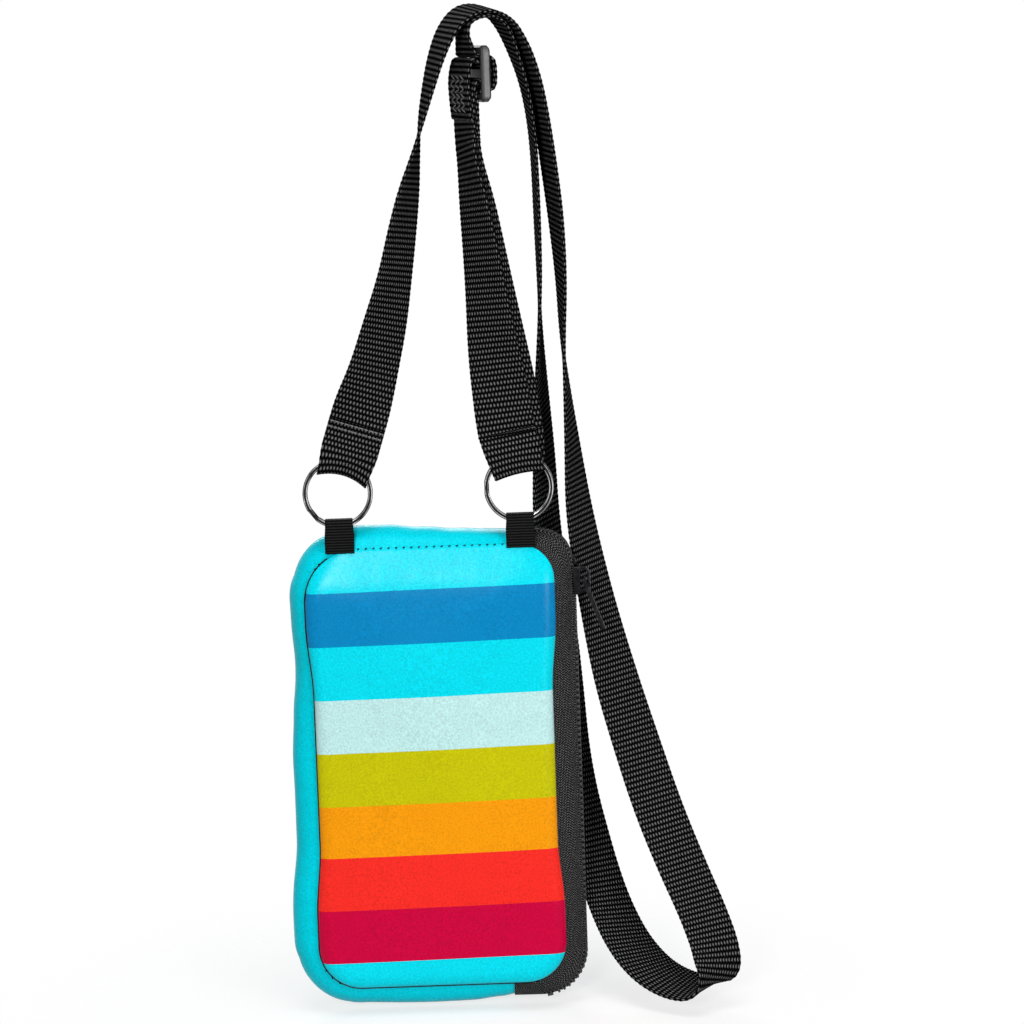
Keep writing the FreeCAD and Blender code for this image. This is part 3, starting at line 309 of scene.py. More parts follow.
class PouchColours(bpy.types.PropertyGroup):
    """Colours of the pouch's materials."""
    cyan: colour("Cyan", "Gusset, back and three of the stripes", (0.001, 0.715, 0.855))
    blue: colour("Dark blue", "The dark blue stripe", (0.001, 0.235, 0.525))
    mint: colour("Mint", "The pale stripe", (0.52, 0.81, 0.797))
    lime: colour("Lime", "The yellow green stripe", (0.563, 0.533, 0.002))
    orange: colour("Orange", "The orange stripe", (0.92, 0.325, 0.003))
    coral: colour("Coral", "The coral stripe", (0.925, 0.027, 0.019))
    crimson: colour("Crimson", "The crimson stripe", (0.594, 0.0005, 0.045))
    # Painted sheen: the adjuster's side faces are painted lighter, in place of the lamps' sheen on them
    painted_side_sheen: colour("Worn plastic", "Worn side faces of the adjuster", (0.17, 0.17, 0.17))
    # Painted highlight: the webbing is black, and this grey on the tops of its threads stands in for their
    # sheen
    webbing: colour("Webbing", "Top of the webbing's threads", (0.22, 0.22, 0.225))
    webbing_gap: colour("Webbing gaps", "Gaps between the webbing's threads", (0.002, 0.002, 0.002))
    # Painted highlight: the tape is black, and this grey on its twill ribs stands in for their sheen
    tape: colour("Zip tape", "Threads of the zip tape", (0.26, 0.26, 0.26))
    # Painted highlight: lighter tops of the black ribbon's ribs
    ribbon: colour("Ribbon", "Ribs of the ribbon tabs", (0.02, 0.02, 0.021))
    coil: colour("Zip coil", "Teeth and bottom stop of the zip", (0.016, 0.016, 0.017))
    metal: colour("Dark metal", "Slider, pull and top stops", (0.02, 0.02, 0.022))
    metal_shade: colour("Metal shade", "Dark patches of the dark metal", (0.004, 0.004, 0.0045))
    ring: colour("Ring metal", "Dark plating of the split rings", (0.014, 0.014, 0.015))
    # Colour of the painted highlight lines along the split rings
    painted_ring_highlight: colour("Ring edges", "Bright lines along the split rings", (0.5, 0.5, 0.5))
    plastic: colour("Adjuster", "Plastic of the adjuster", (0.035, 0.035, 0.036))
    thread: colour("Thread", "Sewing thread", (0.006, 0.006, 0.007))
    pale_thread: colour("Strap thread", "Thread that shows on the strap's sewn ends", (0.22, 0.22, 0.22))


class StageSettings(bpy.types.PropertyGroup):
    """Camera, floor and lamps."""
    camera: FloatVectorProperty(
        name="Camera", description="Place of the camera", default=(0.0045, -1.3864, 0.0215),
        subtype="TRANSLATION", unit="LENGTH")
    target: FloatVectorProperty(
        name="Target", description="Point in the middle of the picture", default=(0.0045, 0, -0.1734),
        subtype="TRANSLATION", unit="LENGTH")
    roll: angle("Roll", "Turn of the camera about its line of sight", -2)
    lens: FloatProperty(name="Lens", description="Focal length in millimetres", default=140.2, unit="CAMERA")
    floor: colour("Floor", "Colour of the floor", (0.95, 0.95, 0.95))
    floor_bounce: colour("Floor bounce", "Light that the floor throws back on the object", (0.4, 0.4, 0.4))
    floor_glow: FloatProperty(
        name="Floor glow", description="Share of plain white in the floor that the camera sees", default=0.6,
        min=0, max=1)
    white_level: FloatProperty(
        name="White level", description="Strength of the floor's white", default=1.1, min=0)
    floor_gap: length("Floor gap", "Room between the object and the floor", 0.003)
    floor_radius: length("Floor radius", "Radius of the floor", 1.6)
    fade_start: length("Fade start", "Distance from the pouch at which the floor starts to fade", 0.06)
    fade_end: length("Fade end", "Distance from the pouch at which the floor is gone", 0.2)
    world: FloatProperty(
        name="World", description="Strength of the light from all round", default=0.15, min=0)


def select_only(piece):
    """Select one piece and make it the one that operators act on."""
    bpy.ops.object.select_all(action="DESELECT")
    piece.select_set(True)
    bpy.context.view_layer.objects.active = piece


def add_modifier(piece, kind, **settings):
    """Add a modifier with its settings and apply it."""
    select_only(piece)
    modifier = piece.modifiers.new(kind.title(), kind)
    for key, value in settings.items():
        setattr(modifier, key, value)
    bpy.ops.object.modifier_apply(modifier=modifier.name)


def smooth(piece, degrees=50):
    """Shade a piece smooth up to an angle."""
    select_only(piece)
    bpy.ops.object.shade_smooth_by_angle(angle=math.radians(degrees))


def cloth_grid(name, columns, rows, place, flat):
    """A grid whose point in each column and row goes where place puts it, with its UV from flat."""
    bpy.ops.object.select_all(action="DESELECT")
    bpy.ops.mesh.primitive_grid_add(x_subdivisions=columns - 1, y_subdivisions=rows - 1, size=2)
    piece = bpy.context.object
    piece.name = name
    piece.data.name = name
    mesh = piece.data
    if len(mesh.vertices) != columns * rows:
        raise RuntimeError(f"{name} has {len(mesh.vertices)} points, and needs {columns * rows}")
    spots = [
        (round((point.co.x + 1) / 2 * (columns - 1)), round((point.co.y + 1) / 2 * (rows - 1)))
        for point in mesh.vertices
    ]
    for point, spot in zip(mesh.vertices, spots):
        point.co = place(*spot)
    layer = mesh.uv_layers.active.data
    for loop in mesh.loops:
        layer[loop.index].uv = flat(*spots[loop.vertex_index])
    return piece


def run_lengths(points):
    """Distance along a line of points, from its start to each of them."""
    run = [0.0]
    for before, after in zip(points, points[1:]):
        run.append(run[-1] + (after - before).length)
    return run


def lofted(name, stations, section, shape=None):
    """A closed strip: a section carried along stations of (middle, across, out)."""
    count = len(section)
    closed = [Vector((*section[index % count], 0)) for index in range(count + 1)]
    girth = run_lengths(closed)
    run = run_lengths([station[0] for station in stations])

    def place(column, row):
        across, out = section[column % count]
        middle, side, normal = stations[row]
        if shape is not None:
            return shape(row, run[row], across, out)
        return middle + side * across + normal * out

    piece = cloth_grid(name, count + 1, len(stations), place, lambda column, row: (girth[column], run[row]))
    bpy.ops.object.mode_set(mode="EDIT")
    bpy.ops.mesh.select_all(action="SELECT")
    bpy.ops.mesh.remove_doubles(threshold=MERGE_DISTANCE)
    bpy.ops.mesh.fill_holes(sides=0)
    bpy.ops.mesh.normals_make_consistent(inside=False)
    bpy.ops.object.mode_set(mode="OBJECT")
    smooth(piece)
    return piece


def read_spline(points, steps):
    """Points of the smooth spline that has the given points as its control points."""
    curve = bpy.data.curves.new("route", "CURVE")
    curve.dimensions = "3D"
    curve.resolution_u = steps
    spline = curve.splines.new("NURBS")
    spline.points.add(len(points) - 1)
    for control, point in zip(spline.points, points):
        control.co = (*point, 1)
    spline.order_u = 3
    spline.use_endpoint_u = True
    line = bpy.data.objects.new("route", curve)
    bpy.context.scene.collection.objects.link(line)
    mesh = bpy.data.meshes.new_from_object(line)
    found = [vertex.co.copy() for vertex in mesh.vertices]
    bpy.data.objects.remove(line)
    bpy.data.meshes.remove(mesh)
    bpy.data.curves.remove(curve)
    return found


def tangents(points):
    """Direction of a line of points at each of them."""
    befores = points[:1] + points[:-1]
    afters = points[1:] + points[-1:]
    return [(after - before).normalized() for before, after in zip(befores, afters)]


def route_stations(route, steps=ROUTE_STEPS, shift=0):
    """Stations of the webbing along a route, moved along its own normal by a shift."""
    middles = read_spline([Vector(item[:3]) * MM for item in route], steps)
    turns = read_spline([(item[3], item[4], 0) for item in route], steps)
    stations = []
    for middle, turn, tangent in zip(middles, turns, tangents(middles)):
        heading, rise = math.radians(turn.x), math.radians(turn.y)
        flat = RIGHT * math.cos(heading) + BACK * math.sin(heading)
        level = flat * math.cos(rise) + UP * math.sin(rise)
        across = (level - tangent * level.dot(tangent)).normalized()
        normal = tangent.cross(across)
        stations.append((middle + normal * shift, across, normal))
    return stations


def fold_stations(fold, origin, deep, high, steps=FOLD_STEPS):
    """Stations of a strip folded in the plane of two directions, from a table in millimetres."""
    across = deep.cross(high)
    line = read_spline([(*point, 0) for point in fold], steps)
    middles = [origin + (deep * point.x + high * point.y) * MM for point in line]
    return [(middle, across, way.cross(across)) for middle, way in zip(middles, tangents(middles))]


def strip_section(width, gauge, edge, columns):
    """Flat section with rounded edges, as (across, out) pairs."""
    half, thick = width / 2, gauge / 2
    flat = half - edge
    top = [(flat * (2 * column / columns - 1), thick) for column in range(columns + 1)]
    lower = [(-across, -out) for across, out in top]
    return top + [(half, thick / 2), (half, -thick / 2)] + lower + [(-half, -thick / 2), (-half, thick / 2)]


def ease(share):
    """Smooth step from 0 to 1."""
    share = min(max(share, 0), 1)
    return share * share * (3 - 2 * share)


def read_table(table, share):
    """Value at a share in a table of (share, value) pairs, eased from one to the next."""
    for (start, first), (end, second) in zip(table, table[1:]):
        if share <= end:
            return first + (second - first) * ease((share - start) / (end - start))
    return table[-1][1]


class Finish:
    """Nodes of one procedural material."""

    def __init__(self, name, tint, roughness, **sockets):
        self.material = bpy.data.materials.new(name)
        self.material.use_nodes = True
        self.tree = self.material.node_tree
        self.shader = next(node for node in self.tree.nodes if node.type == "BSDF_PRINCIPLED")
        self.shader.inputs["Base Color"].default_value = (*tint, 1)
        self.shader.inputs["Roughness"].default_value = roughness
        for socket, value in sockets.items():
            self.shader.inputs[socket.replace("_", " ")].default_value = value

    def node(self, kind, feeds=None, **settings):
        """Add a node, set it and feed its inputs with values or other nodes' outputs."""
        item = self.tree.nodes.new(f"ShaderNode{kind}")
        for key, value in settings.items():
            setattr(item, key, value)
        for socket, value in (feeds or {}).items():
            self.feed(item.inputs[socket], value)
        return item

    def feed(self, socket, value):
        """Give an input a value, or link it to an output."""
        if isinstance(value, bpy.types.NodeSocket):
            self.tree.links.new(value, socket)
        else:
            socket.default_value = value

    def maths(self, operation, first, second=0.0):
        """Result of a sum on two values."""
        return self.node("Math", {0: first, 1: second}, operation=operation).outputs[0]

    def times(self, first, second):
        """Product of two values."""
        return self.maths("MULTIPLY", first, second)

    def vector(self, operation, first, second=(0, 0, 0)):
        """Result of a sum on two vectors: a vector, or a number where the sum gives one."""
        outputs = self.node("VectorMath", {0: first, 1: second}, operation=operation).outputs
        return outputs["Value" if operation in ("LENGTH", "DISTANCE", "DOT_PRODUCT") else "Vector"]

    def place(self, kind="Object"):
        """Texture coordinates of the piece."""
        return self.node("TexCoord").outputs[kind]

    def noise(self, kind):
        """One of the noises."""
        scale, detail = NOISES[kind]
        feeds = {"Vector": self.place(), "Scale": scale, "Detail": detail}
        return self.node("TexNoise", feeds).outputs["Fac"]

    def rise(self, value, start, end):
        """0 to 1 as a value goes from a start to an end."""
        return self.node("MapRange", {"Value": value, "From Min": start, "From Max": end}).outputs[0]

    def ramp(self, value, low, high):
        """Grey value stretched between two levels."""
        feeds = {"Value": value, "From Min": 0.25, "From Max": 0.75, "To Min": low, "To Max": high}
        return self.node("MapRange", feeds).outputs[0]

    def hump(self, value):
        """Round ridge that rises and falls once in each whole step of a value."""
        part = self.maths("FRACT", value)
        return self.times(self.times(part, self.maths("SUBTRACT", 1.0, part)), 4.0)

    def run(self, axis, step):
        """Count of steps along an axis of the UV map."""
        return self.maths("DIVIDE", self.node("SeparateXYZ", {0: self.place("UV")}).outputs[axis], step)

    def mix(self, share, first, second, blend="MIX"):
        """Two colours mixed by a share."""
        item = self.node("Mix", data_type="RGBA", blend_type=blend)
        named = {socket.identifier: socket for socket in item.inputs}
        self.feed(named["Factor_Float"], share)
        self.feed(named["A_Color"], first)
        self.feed(named["B_Color"], second)
        return next(socket for socket in item.outputs if socket.identifier == "Result_Color")

    def bump(self, height, kind, strength=1.0, under=None):
        """One of the reliefs, from a height."""
        feeds = {"Height": height, "Distance": RELIEFS[kind] * MM, "Strength": strength}
        if under is not None:
            feeds["Normal"] = under
        return self.node("Bump", feeds).outputs["Normal"]

    def finish(self, tint=None, roughness=None, normal=None):
        """Link what was made to the shader."""
        for socket, value in (("Base Color", tint), ("Roughness", roughness), ("Normal", normal)):
            if value is not None:
                self.feed(self.shader.inputs[socket], value)
        return self.material


def rgba(tint, share=1):
    """A colour with its alpha, darkened to a share."""
    return (*(share * part for part in tint), 1)


def stripes(look, colours):
    """Colour of the stripes across the front, by height."""
    turned = look.node("Mapping", {"Vector": look.place(), "Rotation": (0, STRIPE_TILT, 0)}).outputs[0]
    height = look.node("SeparateXYZ", {0: turned}).outputs["Z"]
    top, bottom = PANEL_HIGH.z, PANEL_LOW.z
    band = look.node("ValToRGB", {"Fac": look.rise(height, bottom, top)})
    band.color_ramp.interpolation = "CONSTANT"
    steps = band.color_ramp.elements
    upper_edges = [edge * MM for edge, _ in STRIPES]
    lower_edges = upper_edges[1:] + [bottom]
    for index, (edge, (_, tone)) in enumerate(reversed(list(zip(lower_edges, STRIPES)))):
        share = (edge - bottom) / (top - bottom)
        step = steps[0] if index == 0 else steps.new(share)
        step.position = share
        step.color = rgba(getattr(colours, tone))
    steps.remove(steps[-1])
    return band.outputs["Color"]


def neoprene_finish(name, colours, striped):
    """Knit face of the neoprene, plain or printed with the stripes."""
    look = Finish(name, colours.cyan, 0.28, Specular_IOR_Level=0.08 if striped else 0.03)
    tint = stripes(look, colours) if striped else rgba(colours.cyan)
    grain = look.noise("knit")
    blotch = look.noise("blotch")
    shade = look.maths("ADD", look.ramp(grain, 0.8, 1.16), look.ramp(blotch, -0.025, 0.025))
    grey = look.node("CombineColor", {"Red": shade, "Green": shade, "Blue": shade}).outputs[0]
    tint = look.mix(1.0, tint, grey, "MULTIPLY")
    relief = look.bump(grain, "knit", 0.3)
    relief = look.bump(blotch, "blotch", 0.15, relief)
    return look.finish(tint, look.ramp(grain, 0.19, 0.28), relief)


def webbing_finish(colours, strap):
    """Coarse plain weave of the strap: rows of short floats, every second row half a float along, each with a
    painted highlight on its top.
    """
    look = Finish("webbing_weave", colours.webbing, 0.5, Specular_IOR_Level=0.0)
    rows = look.run("Y", strap.rib_pitch)
    shift = look.times(look.maths("MODULO", look.maths("FLOOR", rows), 2.0), 0.5)
    floats = look.maths("ADD", look.run("X", strap.float_width), shift)
    fibre = look.noise("webbing")
    height = look.times(look.hump(floats), look.hump(rows))
    # Painted highlight: grey on the tops of the floats over the black webbing, with no specular
    painted_glint = look.times(look.maths("POWER", height, 4.0), look.ramp(fibre, 0.6, 1.4))
    tint = look.mix(painted_glint, rgba(colours.webbing_gap), rgba(colours.webbing))
    return look.finish(tint, look.ramp(fibre, 0.36, 0.55), look.bump(height, "webbing"))


def tape_finish(colours, shell):
    """Herringbone twill of the zip tape, with painted highlights on its ribs."""
    look = Finish("tape_twill", colours.tape, 0.6, Specular_IOR_Level=0.05)
    strands = look.run("X", shell.twill_strand)
    slant = look.times(look.maths("PINGPONG", strands, 4.0), 0.5)
    ribs = look.maths("ADD", look.run("Y", shell.twill_rib), slant)
    fibre = look.noise("tape")
    height = look.times(look.hump(ribs), look.hump(strands))
    # Painted highlight: grey on the tops of the twill's ribs
    painted_glint = look.times(look.maths("POWER", height, 4.0), look.ramp(fibre, 0.3, 1.7))
    tint = look.mix(painted_glint, rgba(colours.webbing_gap), rgba(colours.tape))
    return look.finish(tint, None, look.bump(height, "tape"))


def ribbon_finish(colours, shell):
    """Fine ribs across the ribbon tabs, with painted highlights on their tops."""
    look = Finish("ribbon_ribs", colours.ribbon, 0.5, Specular_IOR_Level=0.02)
    ribs = look.run("Y", shell.ribbon_rib)
    fibre = look.noise("ribbon")
    height = look.hump(ribs)
    # Painted highlight: lighter colour on the tops of the ribs
    painted_glint = look.times(look.maths("POWER", height, 5.0), look.ramp(fibre, 0.4, 1.6))
    tint = look.mix(painted_glint, rgba(colours.webbing_gap), rgba(colours.ribbon))
    return look.finish(tint, None, look.bump(height, "ribbon"))


def metal_finish(name, tint, dark, roughness, wear):
    """Plated metal with patches and fine scratches."""
    look = Finish(name, tint, roughness, Metallic=1.0)
    patches = look.noise("metal_patch")
    scratches = look.noise("scratch")
    marks = look.maths("ADD", look.times(patches, 0.7), look.times(scratches, 0.3))
    toned = look.mix(look.ramp(marks, 0, 1), rgba(dark), rgba(tint))
    uneven = look.ramp(patches, roughness * 0.7, roughness * 1.5)
    return look.finish(toned, uneven, look.bump(scratches, "scratch", wear))


def ring_finish(name, colours, centre, radius, half):
    """Dark plated wire of a ring, with a painted highlight in a line beside each edge."""
    look = Finish(name, colours.ring, 0.3, Metallic=1.0)
    flat = look.vector("MULTIPLY", look.vector("SUBTRACT", look.place(), centre), RIGHT + UP)
    aside = look.maths("ABSOLUTE", look.maths("SUBTRACT", look.vector("LENGTH", flat), radius))
    start, full, fade, end = (half * share for share in RING_HIGHLIGHT_SHARES)
    # Painted highlight: bright lines beside the wire's edges, broken into patches by noise
    lines = look.times(look.rise(aside, start, full), look.rise(aside, end, fade))
    painted_highlight = look.times(lines, look.ramp(look.noise("ring_patch"), -0.2, 1.2))
    share = look.node("Clamp", {0: painted_highlight}).outputs[0]
    toned = look.mix(share, rgba(colours.ring), rgba(colours.painted_ring_highlight))
    scratches = look.noise("scratch")
    return look.finish(toned, look.ramp(scratches, 0.22, 0.36), look.bump(scratches, "scratch", 0.2))


def plastic_finish(name, tint, roughness, relief, painted_highlight=None):
    """Moulded plastic with a fine grain; painted_highlight gives the middle, way, reach and tint of a painted
    sheen on two sides.
    """
    look = Finish(name, tint, roughness, Specular_IOR_Level=0.5)
    grain = look.noise("plastic")
    toned = look.mix(look.ramp(grain, 0, 1), rgba(tint, 0.7), rgba(tint))
    if painted_highlight:
        middle, way, reach, pale = painted_highlight
        along = look.vector("DOT_PRODUCT", look.vector("SUBTRACT", look.place(), middle), way)
        start, full = (reach * share for share in SIDE_SHEEN_SHARES)
        # Painted sheen: lighter side faces, in patches
        sheen_mask = look.rise(look.maths("ABSOLUTE", along), start, full)
        patchy = look.times(sheen_mask, look.ramp(look.noise("wear"), 0.5, 1))
        toned = look.mix(patchy, toned, rgba(pale))
    uneven = look.ramp(grain, roughness * 0.85, roughness * 1.2)
    return look.finish(toned, uneven, look.bump(grain, "plastic", relief))


def thread_finish(name, tint):
    """Twisted sewing thread."""
    look = Finish(name, tint, 0.6, Specular_IOR_Level=0.1)
    twist = look.noise("twist")
    toned = look.mix(look.ramp(twist, 0, 1), rgba(tint, 0.6), rgba(tint))
    return look.finish(toned, None, look.bump(twist, "twist", 0.6))


def dress(piece, material, body=None, nodes=()):
    """Give a piece its material, its body and the nodes it stands for."""
    piece.data.materials.clear()
    piece.data.materials.append(material)
    if body is not None:
        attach(piece, body)
    if nodes:
        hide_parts(*nodes)


def dress_node(node, material):
    """Give a rigid node its material and softened edges."""
    piece = frame["nodes"][node]
    piece.data.materials.clear()
    piece.data.materials.append(material)
    weld = piece.modifiers.new("Weld", "WELD")
    weld.merge_threshold = MERGE_DISTANCE
    soft = piece.modifiers.new("Bevel", "BEVEL")
    soft.width = NODE_EDGES[node] * MM
    soft.segments = 3
    soft.limit_method = "ANGLE"
    soft.angle_limit = math.radians(35)


def corner_radius(shell, side, z):
    """Radius of a panel's soft corner, to the right or the left of its middle and at a height."""
    height = "top" if z > PANEL_MIDDLE.z else "low"
    return getattr(shell, f"{height}_right_corner" if side > 0 else f"{height}_left_corner")


def side_reach(shell, z):
    """Distance from the middle of a panel to its sides, which pull in between the corners."""
    below = (PANEL_HIGH.z - z) / shell.waist_end - 1
    above = (z - PANEL_LOW.z) / shell.waist_end - 1
    return PANEL_HALF.x - shell.waist * ease(below) * ease(above)


def inside(shell, x, z):
    """How far a point lies inside the soft outline of a panel."""
    corner = corner_radius(shell, x - PANEL_MIDDLE.x, z)
    across = abs(x - PANEL_MIDDLE.x) - side_reach(shell, z) + corner
    up = abs(z - PANEL_MIDDLE.z) - PANEL_HALF.z + corner
    return corner - math.hypot(max(across, 0), max(up, 0)) - min(max(across, up), 0)


def half_width(shell, z, side):
    """Half width of a panel's soft outline at a height, to the right or the left of its middle."""
    corner = corner_radius(shell, side, z)
    up = abs(z - PANEL_MIDDLE.z) - PANEL_HALF.z + corner
    reach = side_reach(shell, z)
    if up <= 0:
        return reach
    return reach - corner + math.sqrt(max(corner ** 2 - up ** 2, 0))


def panel_shares(half):
    """Places from one edge of a panel to the other, closer together near the edges, from -1 to 1."""
    near = [1 - step * MM / half for step in EDGE_ROWS]
    inner = [near[-1] * index / INNER_ROWS for index in range(INNER_ROWS)]
    half_shares = inner + near[::-1]
    return [-share for share in half_shares[:0:-1]] + half_shares


def panel_depth(shell, x, z):
    """Depth of a panel's outer face from the middle of the pouch."""
    edge = inside(shell, x, z)
    turn = 1 - min(edge / shell.roll_width, 1)
    roll = shell.roll_rise * math.sqrt(max(1 - turn * turn, 0))
    lean = TOP_LEAN_SHARE + (1 - TOP_LEAN_SHARE) * ease((PANEL_HIGH.z - z) / shell.top_roll)
    crown = shell.crown * ease(edge / PANEL_HALF.x)
    (wide_rate, wide_start), (high_rate, high_start) = PANEL_WAVES
    waves = math.sin(x * wide_rate + wide_start) * math.sin(z * high_rate + high_start)
    slow = shell.panel_wave * waves * ease(edge / PANEL_HALF.x * 2)
    return WALL_HALF + shell.panel_lift + roll * lean + crown + slow


def seam_runs(shell):
    """The wall's two runs round the panels, as (point, outward): gusset, then zip from the bottom up."""
    left, right = PANEL_LOW.x + SEAM_CORNER, PANEL_HIGH.x - SEAM_CORNER
    bottom, top = PANEL_LOW.z + SEAM_CORNER, PANEL_HIGH.z - SEAM_CORNER
    corners = [
        (Vector((right, 0, top)), 90), (Vector((left, 0, top)), 90), (Vector((left, 0, bottom)), 180),
        (Vector((right, 0, bottom)), 270), (Vector((right, 0, top)), 360),
    ]

    def outward(degrees):
        turn = math.radians(degrees)
        return RIGHT * math.cos(turn) + UP * math.sin(turn)

    def straight(begin, end, degrees):
        steps = max(round((end - begin).length / shell.seam_spacing), 1)
        normal = outward(degrees)
        return [(begin.lerp(end, step / steps) + normal * SEAM_CORNER, normal) for step in range(steps + 1)]

    def bend(centre, degrees):
        turns = [outward(degrees + 90 * step / BEND_STEPS) for step in range(1, BEND_STEPS)]
        return [(centre + normal * SEAM_CORNER, normal) for normal in turns]

    gusset = straight(corners[0][0], corners[1][0], 90) + bend(corners[1][0], 90)
    gusset += straight(corners[1][0], corners[2][0], 180) + bend(corners[2][0], 180)
    gusset += straight(corners[2][0], corners[3][0], 270)
    side = bend(corners[3][0], 270) + straight(corners[3][0], corners[4][0], 360) + bend(corners[4][0], 360)
    first = (corners[3][0] - UP * SEAM_CORNER, outward(270))
    last = (corners[4][0] + UP * SEAM_CORNER, outward(90))
    return gusset, [first] + side + [last]


def soft_inset(shell, point, normal):
    """How far the panels' soft outline lies inside the seam line at one of its points."""
    depth = 0.0
    tries = 6
    for _ in range(tries):
        spot = point - normal * depth
        depth -= inside(shell, spot.x, spot.z)
    return max(depth, 0)


def bulge_at(depth):
    """Height of the side wall over the seam line, at a depth from the middle of the pouch."""
    return math.sqrt(max(BULGE_RADIUS ** 2 - depth ** 2, 0)) + BULGE - BULGE_RADIUS


def wall_section(front, back, steps, outward, thickness, tucks):
    """Section of the side wall between two depths, with its edges tucked in under the panels."""
    depths = [front + (back - front) * step / steps for step in range(steps + 1)]
    outer = [(depth, bulge_at(depth) + outward) for depth in depths]
    if tucks[0]:
        outer.insert(0, (front - tucks[0], outer[0][1] - tucks[0] * TUCK_DROP_SHARE))
    if tucks[1]:
        outer.append((back + tucks[1], outer[-1][1] - tucks[1] * TUCK_DROP_SHARE))
    return outer + [(depth, height - thickness) for depth, height in reversed(outer)]


def wall_strip(name, shell, run, section, follow, ripple, full_shares):
    """A strip of the side wall; follow says how much each depth keeps to the panels' soft outline."""
    stations = [(point, BACK, normal) for point, normal in run]
    insets = [soft_inset(shell, point, normal) for point, normal in run]
    whole = run_lengths([point for point, _ in run])[-1]

    def shape(row, distance, depth, height):
        point, _, normal = stations[row]
        start, end = GATHER_SHARES
        near_seam = ease((abs(depth) / WALL_HALF - start) / (end - start))
        first, second = (math.sin(distance * rate + begin) for rate, begin in WALL_WAVES)
        slow = ripple * shell.wave * (first + SECOND_WAVE_SHARE * second) * (1 - near_seam)
        gather = ripple * shell.pucker * math.sin(distance / shell.pucker_pitch * 2 * math.pi) * near_seam
        full = read_table(full_shares, distance / whole) * MM * max(bulge_at(depth) / BULGE, 0)
        return point + BACK * depth + normal * (height + slow + gather + full - insets[row] * follow(depth))

    return lofted(name, stations, section, shape)


def webbing_strip(strap, name, stations, columns=WEBBING_COLUMNS, settle=None):
    """A strip of webbing with its ribs; settle moves its middle at each place across."""
    section = strip_section(strap.width, strap.gauge, strap.edge, columns)
    half = strap.width / 2

    def shape(row, distance, across, out):
        middle, side, normal = stations[row]
        wave = math.cos(distance / strap.rib_pitch * 2 * math.pi)
        thick = out * (1 + wave * strap.rib_height / (strap.gauge / 2))
        wide = across * (1 + wave * strap.rib_height / half)
        if settle is None:
            return middle + side * wide + normal * thick
        return settle(row, wide, thick)

    return lofted(name, stations, section, shape)


def stitch_line(name, strap, places, material, stretch=1):
    """A row of stitches from one modelled stitch; each place is (middle, along, out)."""
    bpy.ops.object.select_all(action="DESELECT")
    bpy.ops.mesh.primitive_uv_sphere_add(segments=8, ring_count=5, radius=0.5)
    first = bpy.context.object
    bpy.ops.object.mode_set(mode="EDIT")
    bpy.ops.mesh.select_all(action="SELECT")
    bpy.ops.transform.resize(value=(strap.stitch_length * stretch, strap.stitch_width, strap.stitch_width))
    bpy.ops.object.mode_set(mode="OBJECT")
    copies = []
    for middle, along, out in places:
        copy = first.copy()
        copy.data = first.data.copy()
        bpy.context.scene.collection.objects.link(copy)
        side = out.cross(along)
        for point in copy.data.vertices:
            point.co = middle + along * point.co.x + side * point.co.y + out * point.co.z
        copies.append(copy)
    bpy.data.objects.remove(first)
    bpy.ops.object.select_all(action="DESELECT")
    for copy in copies:
        copy.select_set(True)
    bpy.context.view_layer.objects.active = copies[0]
    bpy.ops.object.join()
    piece = bpy.context.object
    piece.name = name
    piece.data.name = name
    smooth(piece, degrees=80)
    piece.data.materials.clear()
    piece.data.materials.append(material)
    return piece


def adjuster_frame():
    """Middle of the adjuster's frame, and the direction that its back faces."""
    low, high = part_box("adjuster_frame")
    turn = math.radians(UPPER_ROUTE[-1][3] - 180)
    return (low + high) / 2, Vector((-math.sin(turn), math.cos(turn), 0))


class POUCH_OT_panels(bpy.types.Operator):
    """Make the striped front panel and the plain back panel."""
    bl_idname = "pouch.panels"
    bl_label = "Panels"

    def execute(self, context):
        shell, colours = context.scene.pouch_shell, context.scene.pouch_colours
        columns, rows = panel_shares(PANEL_HALF.x), panel_shares(PANEL_HALF.z)
        for name, side in (("front", -1), ("back", 1)):
            def place(column, row):
                z = PANEL_MIDDLE.z + rows[row] * PANEL_HALF.z
                share = -side * columns[column]
                x = PANEL_MIDDLE.x + share * half_width(shell, z, share)
                return Vector((x, side * panel_depth(shell, x, z), z))

            def flat(column, row):
                return columns[column] * PANEL_HALF.x, rows[row] * PANEL_HALF.z

            panel = cloth_grid(f"{name}_neoprene", len(columns), len(rows), place, flat)
            add_modifier(panel, "SOLIDIFY", thickness=shell.neoprene, offset=-1)
            smooth(panel)
            striped = side < 0
            finish = neoprene_finish(f"{name}_knit", colours, striped)
            dress(panel, finish, "pouch", [f"{name}_panel"])
        return {"FINISHED"}


class POUCH_OT_gusset(bpy.types.Operator):
    """Make the neoprene wall along the top, the left side and the bottom."""
    bl_idname = "pouch.gusset"
    bl_label = "Gusset"

    def execute(self, context):
        shell, colours = context.scene.pouch_shell, context.scene.pouch_colours
        run, _ = seam_runs(shell)
        section = wall_section(-WALL_HALF, WALL_HALF, WALL_STEPS, 0, shell.neoprene, (shell.tuck, shell.tuck))
        gusset = wall_strip("gusset_neoprene", shell, run, section, lambda depth: 1, 1, GUSSET_FULL_SHARES)
        dress(gusset, neoprene_finish("gusset_knit", colours, False), "pouch", ["gusset"])
        return {"FINISHED"}


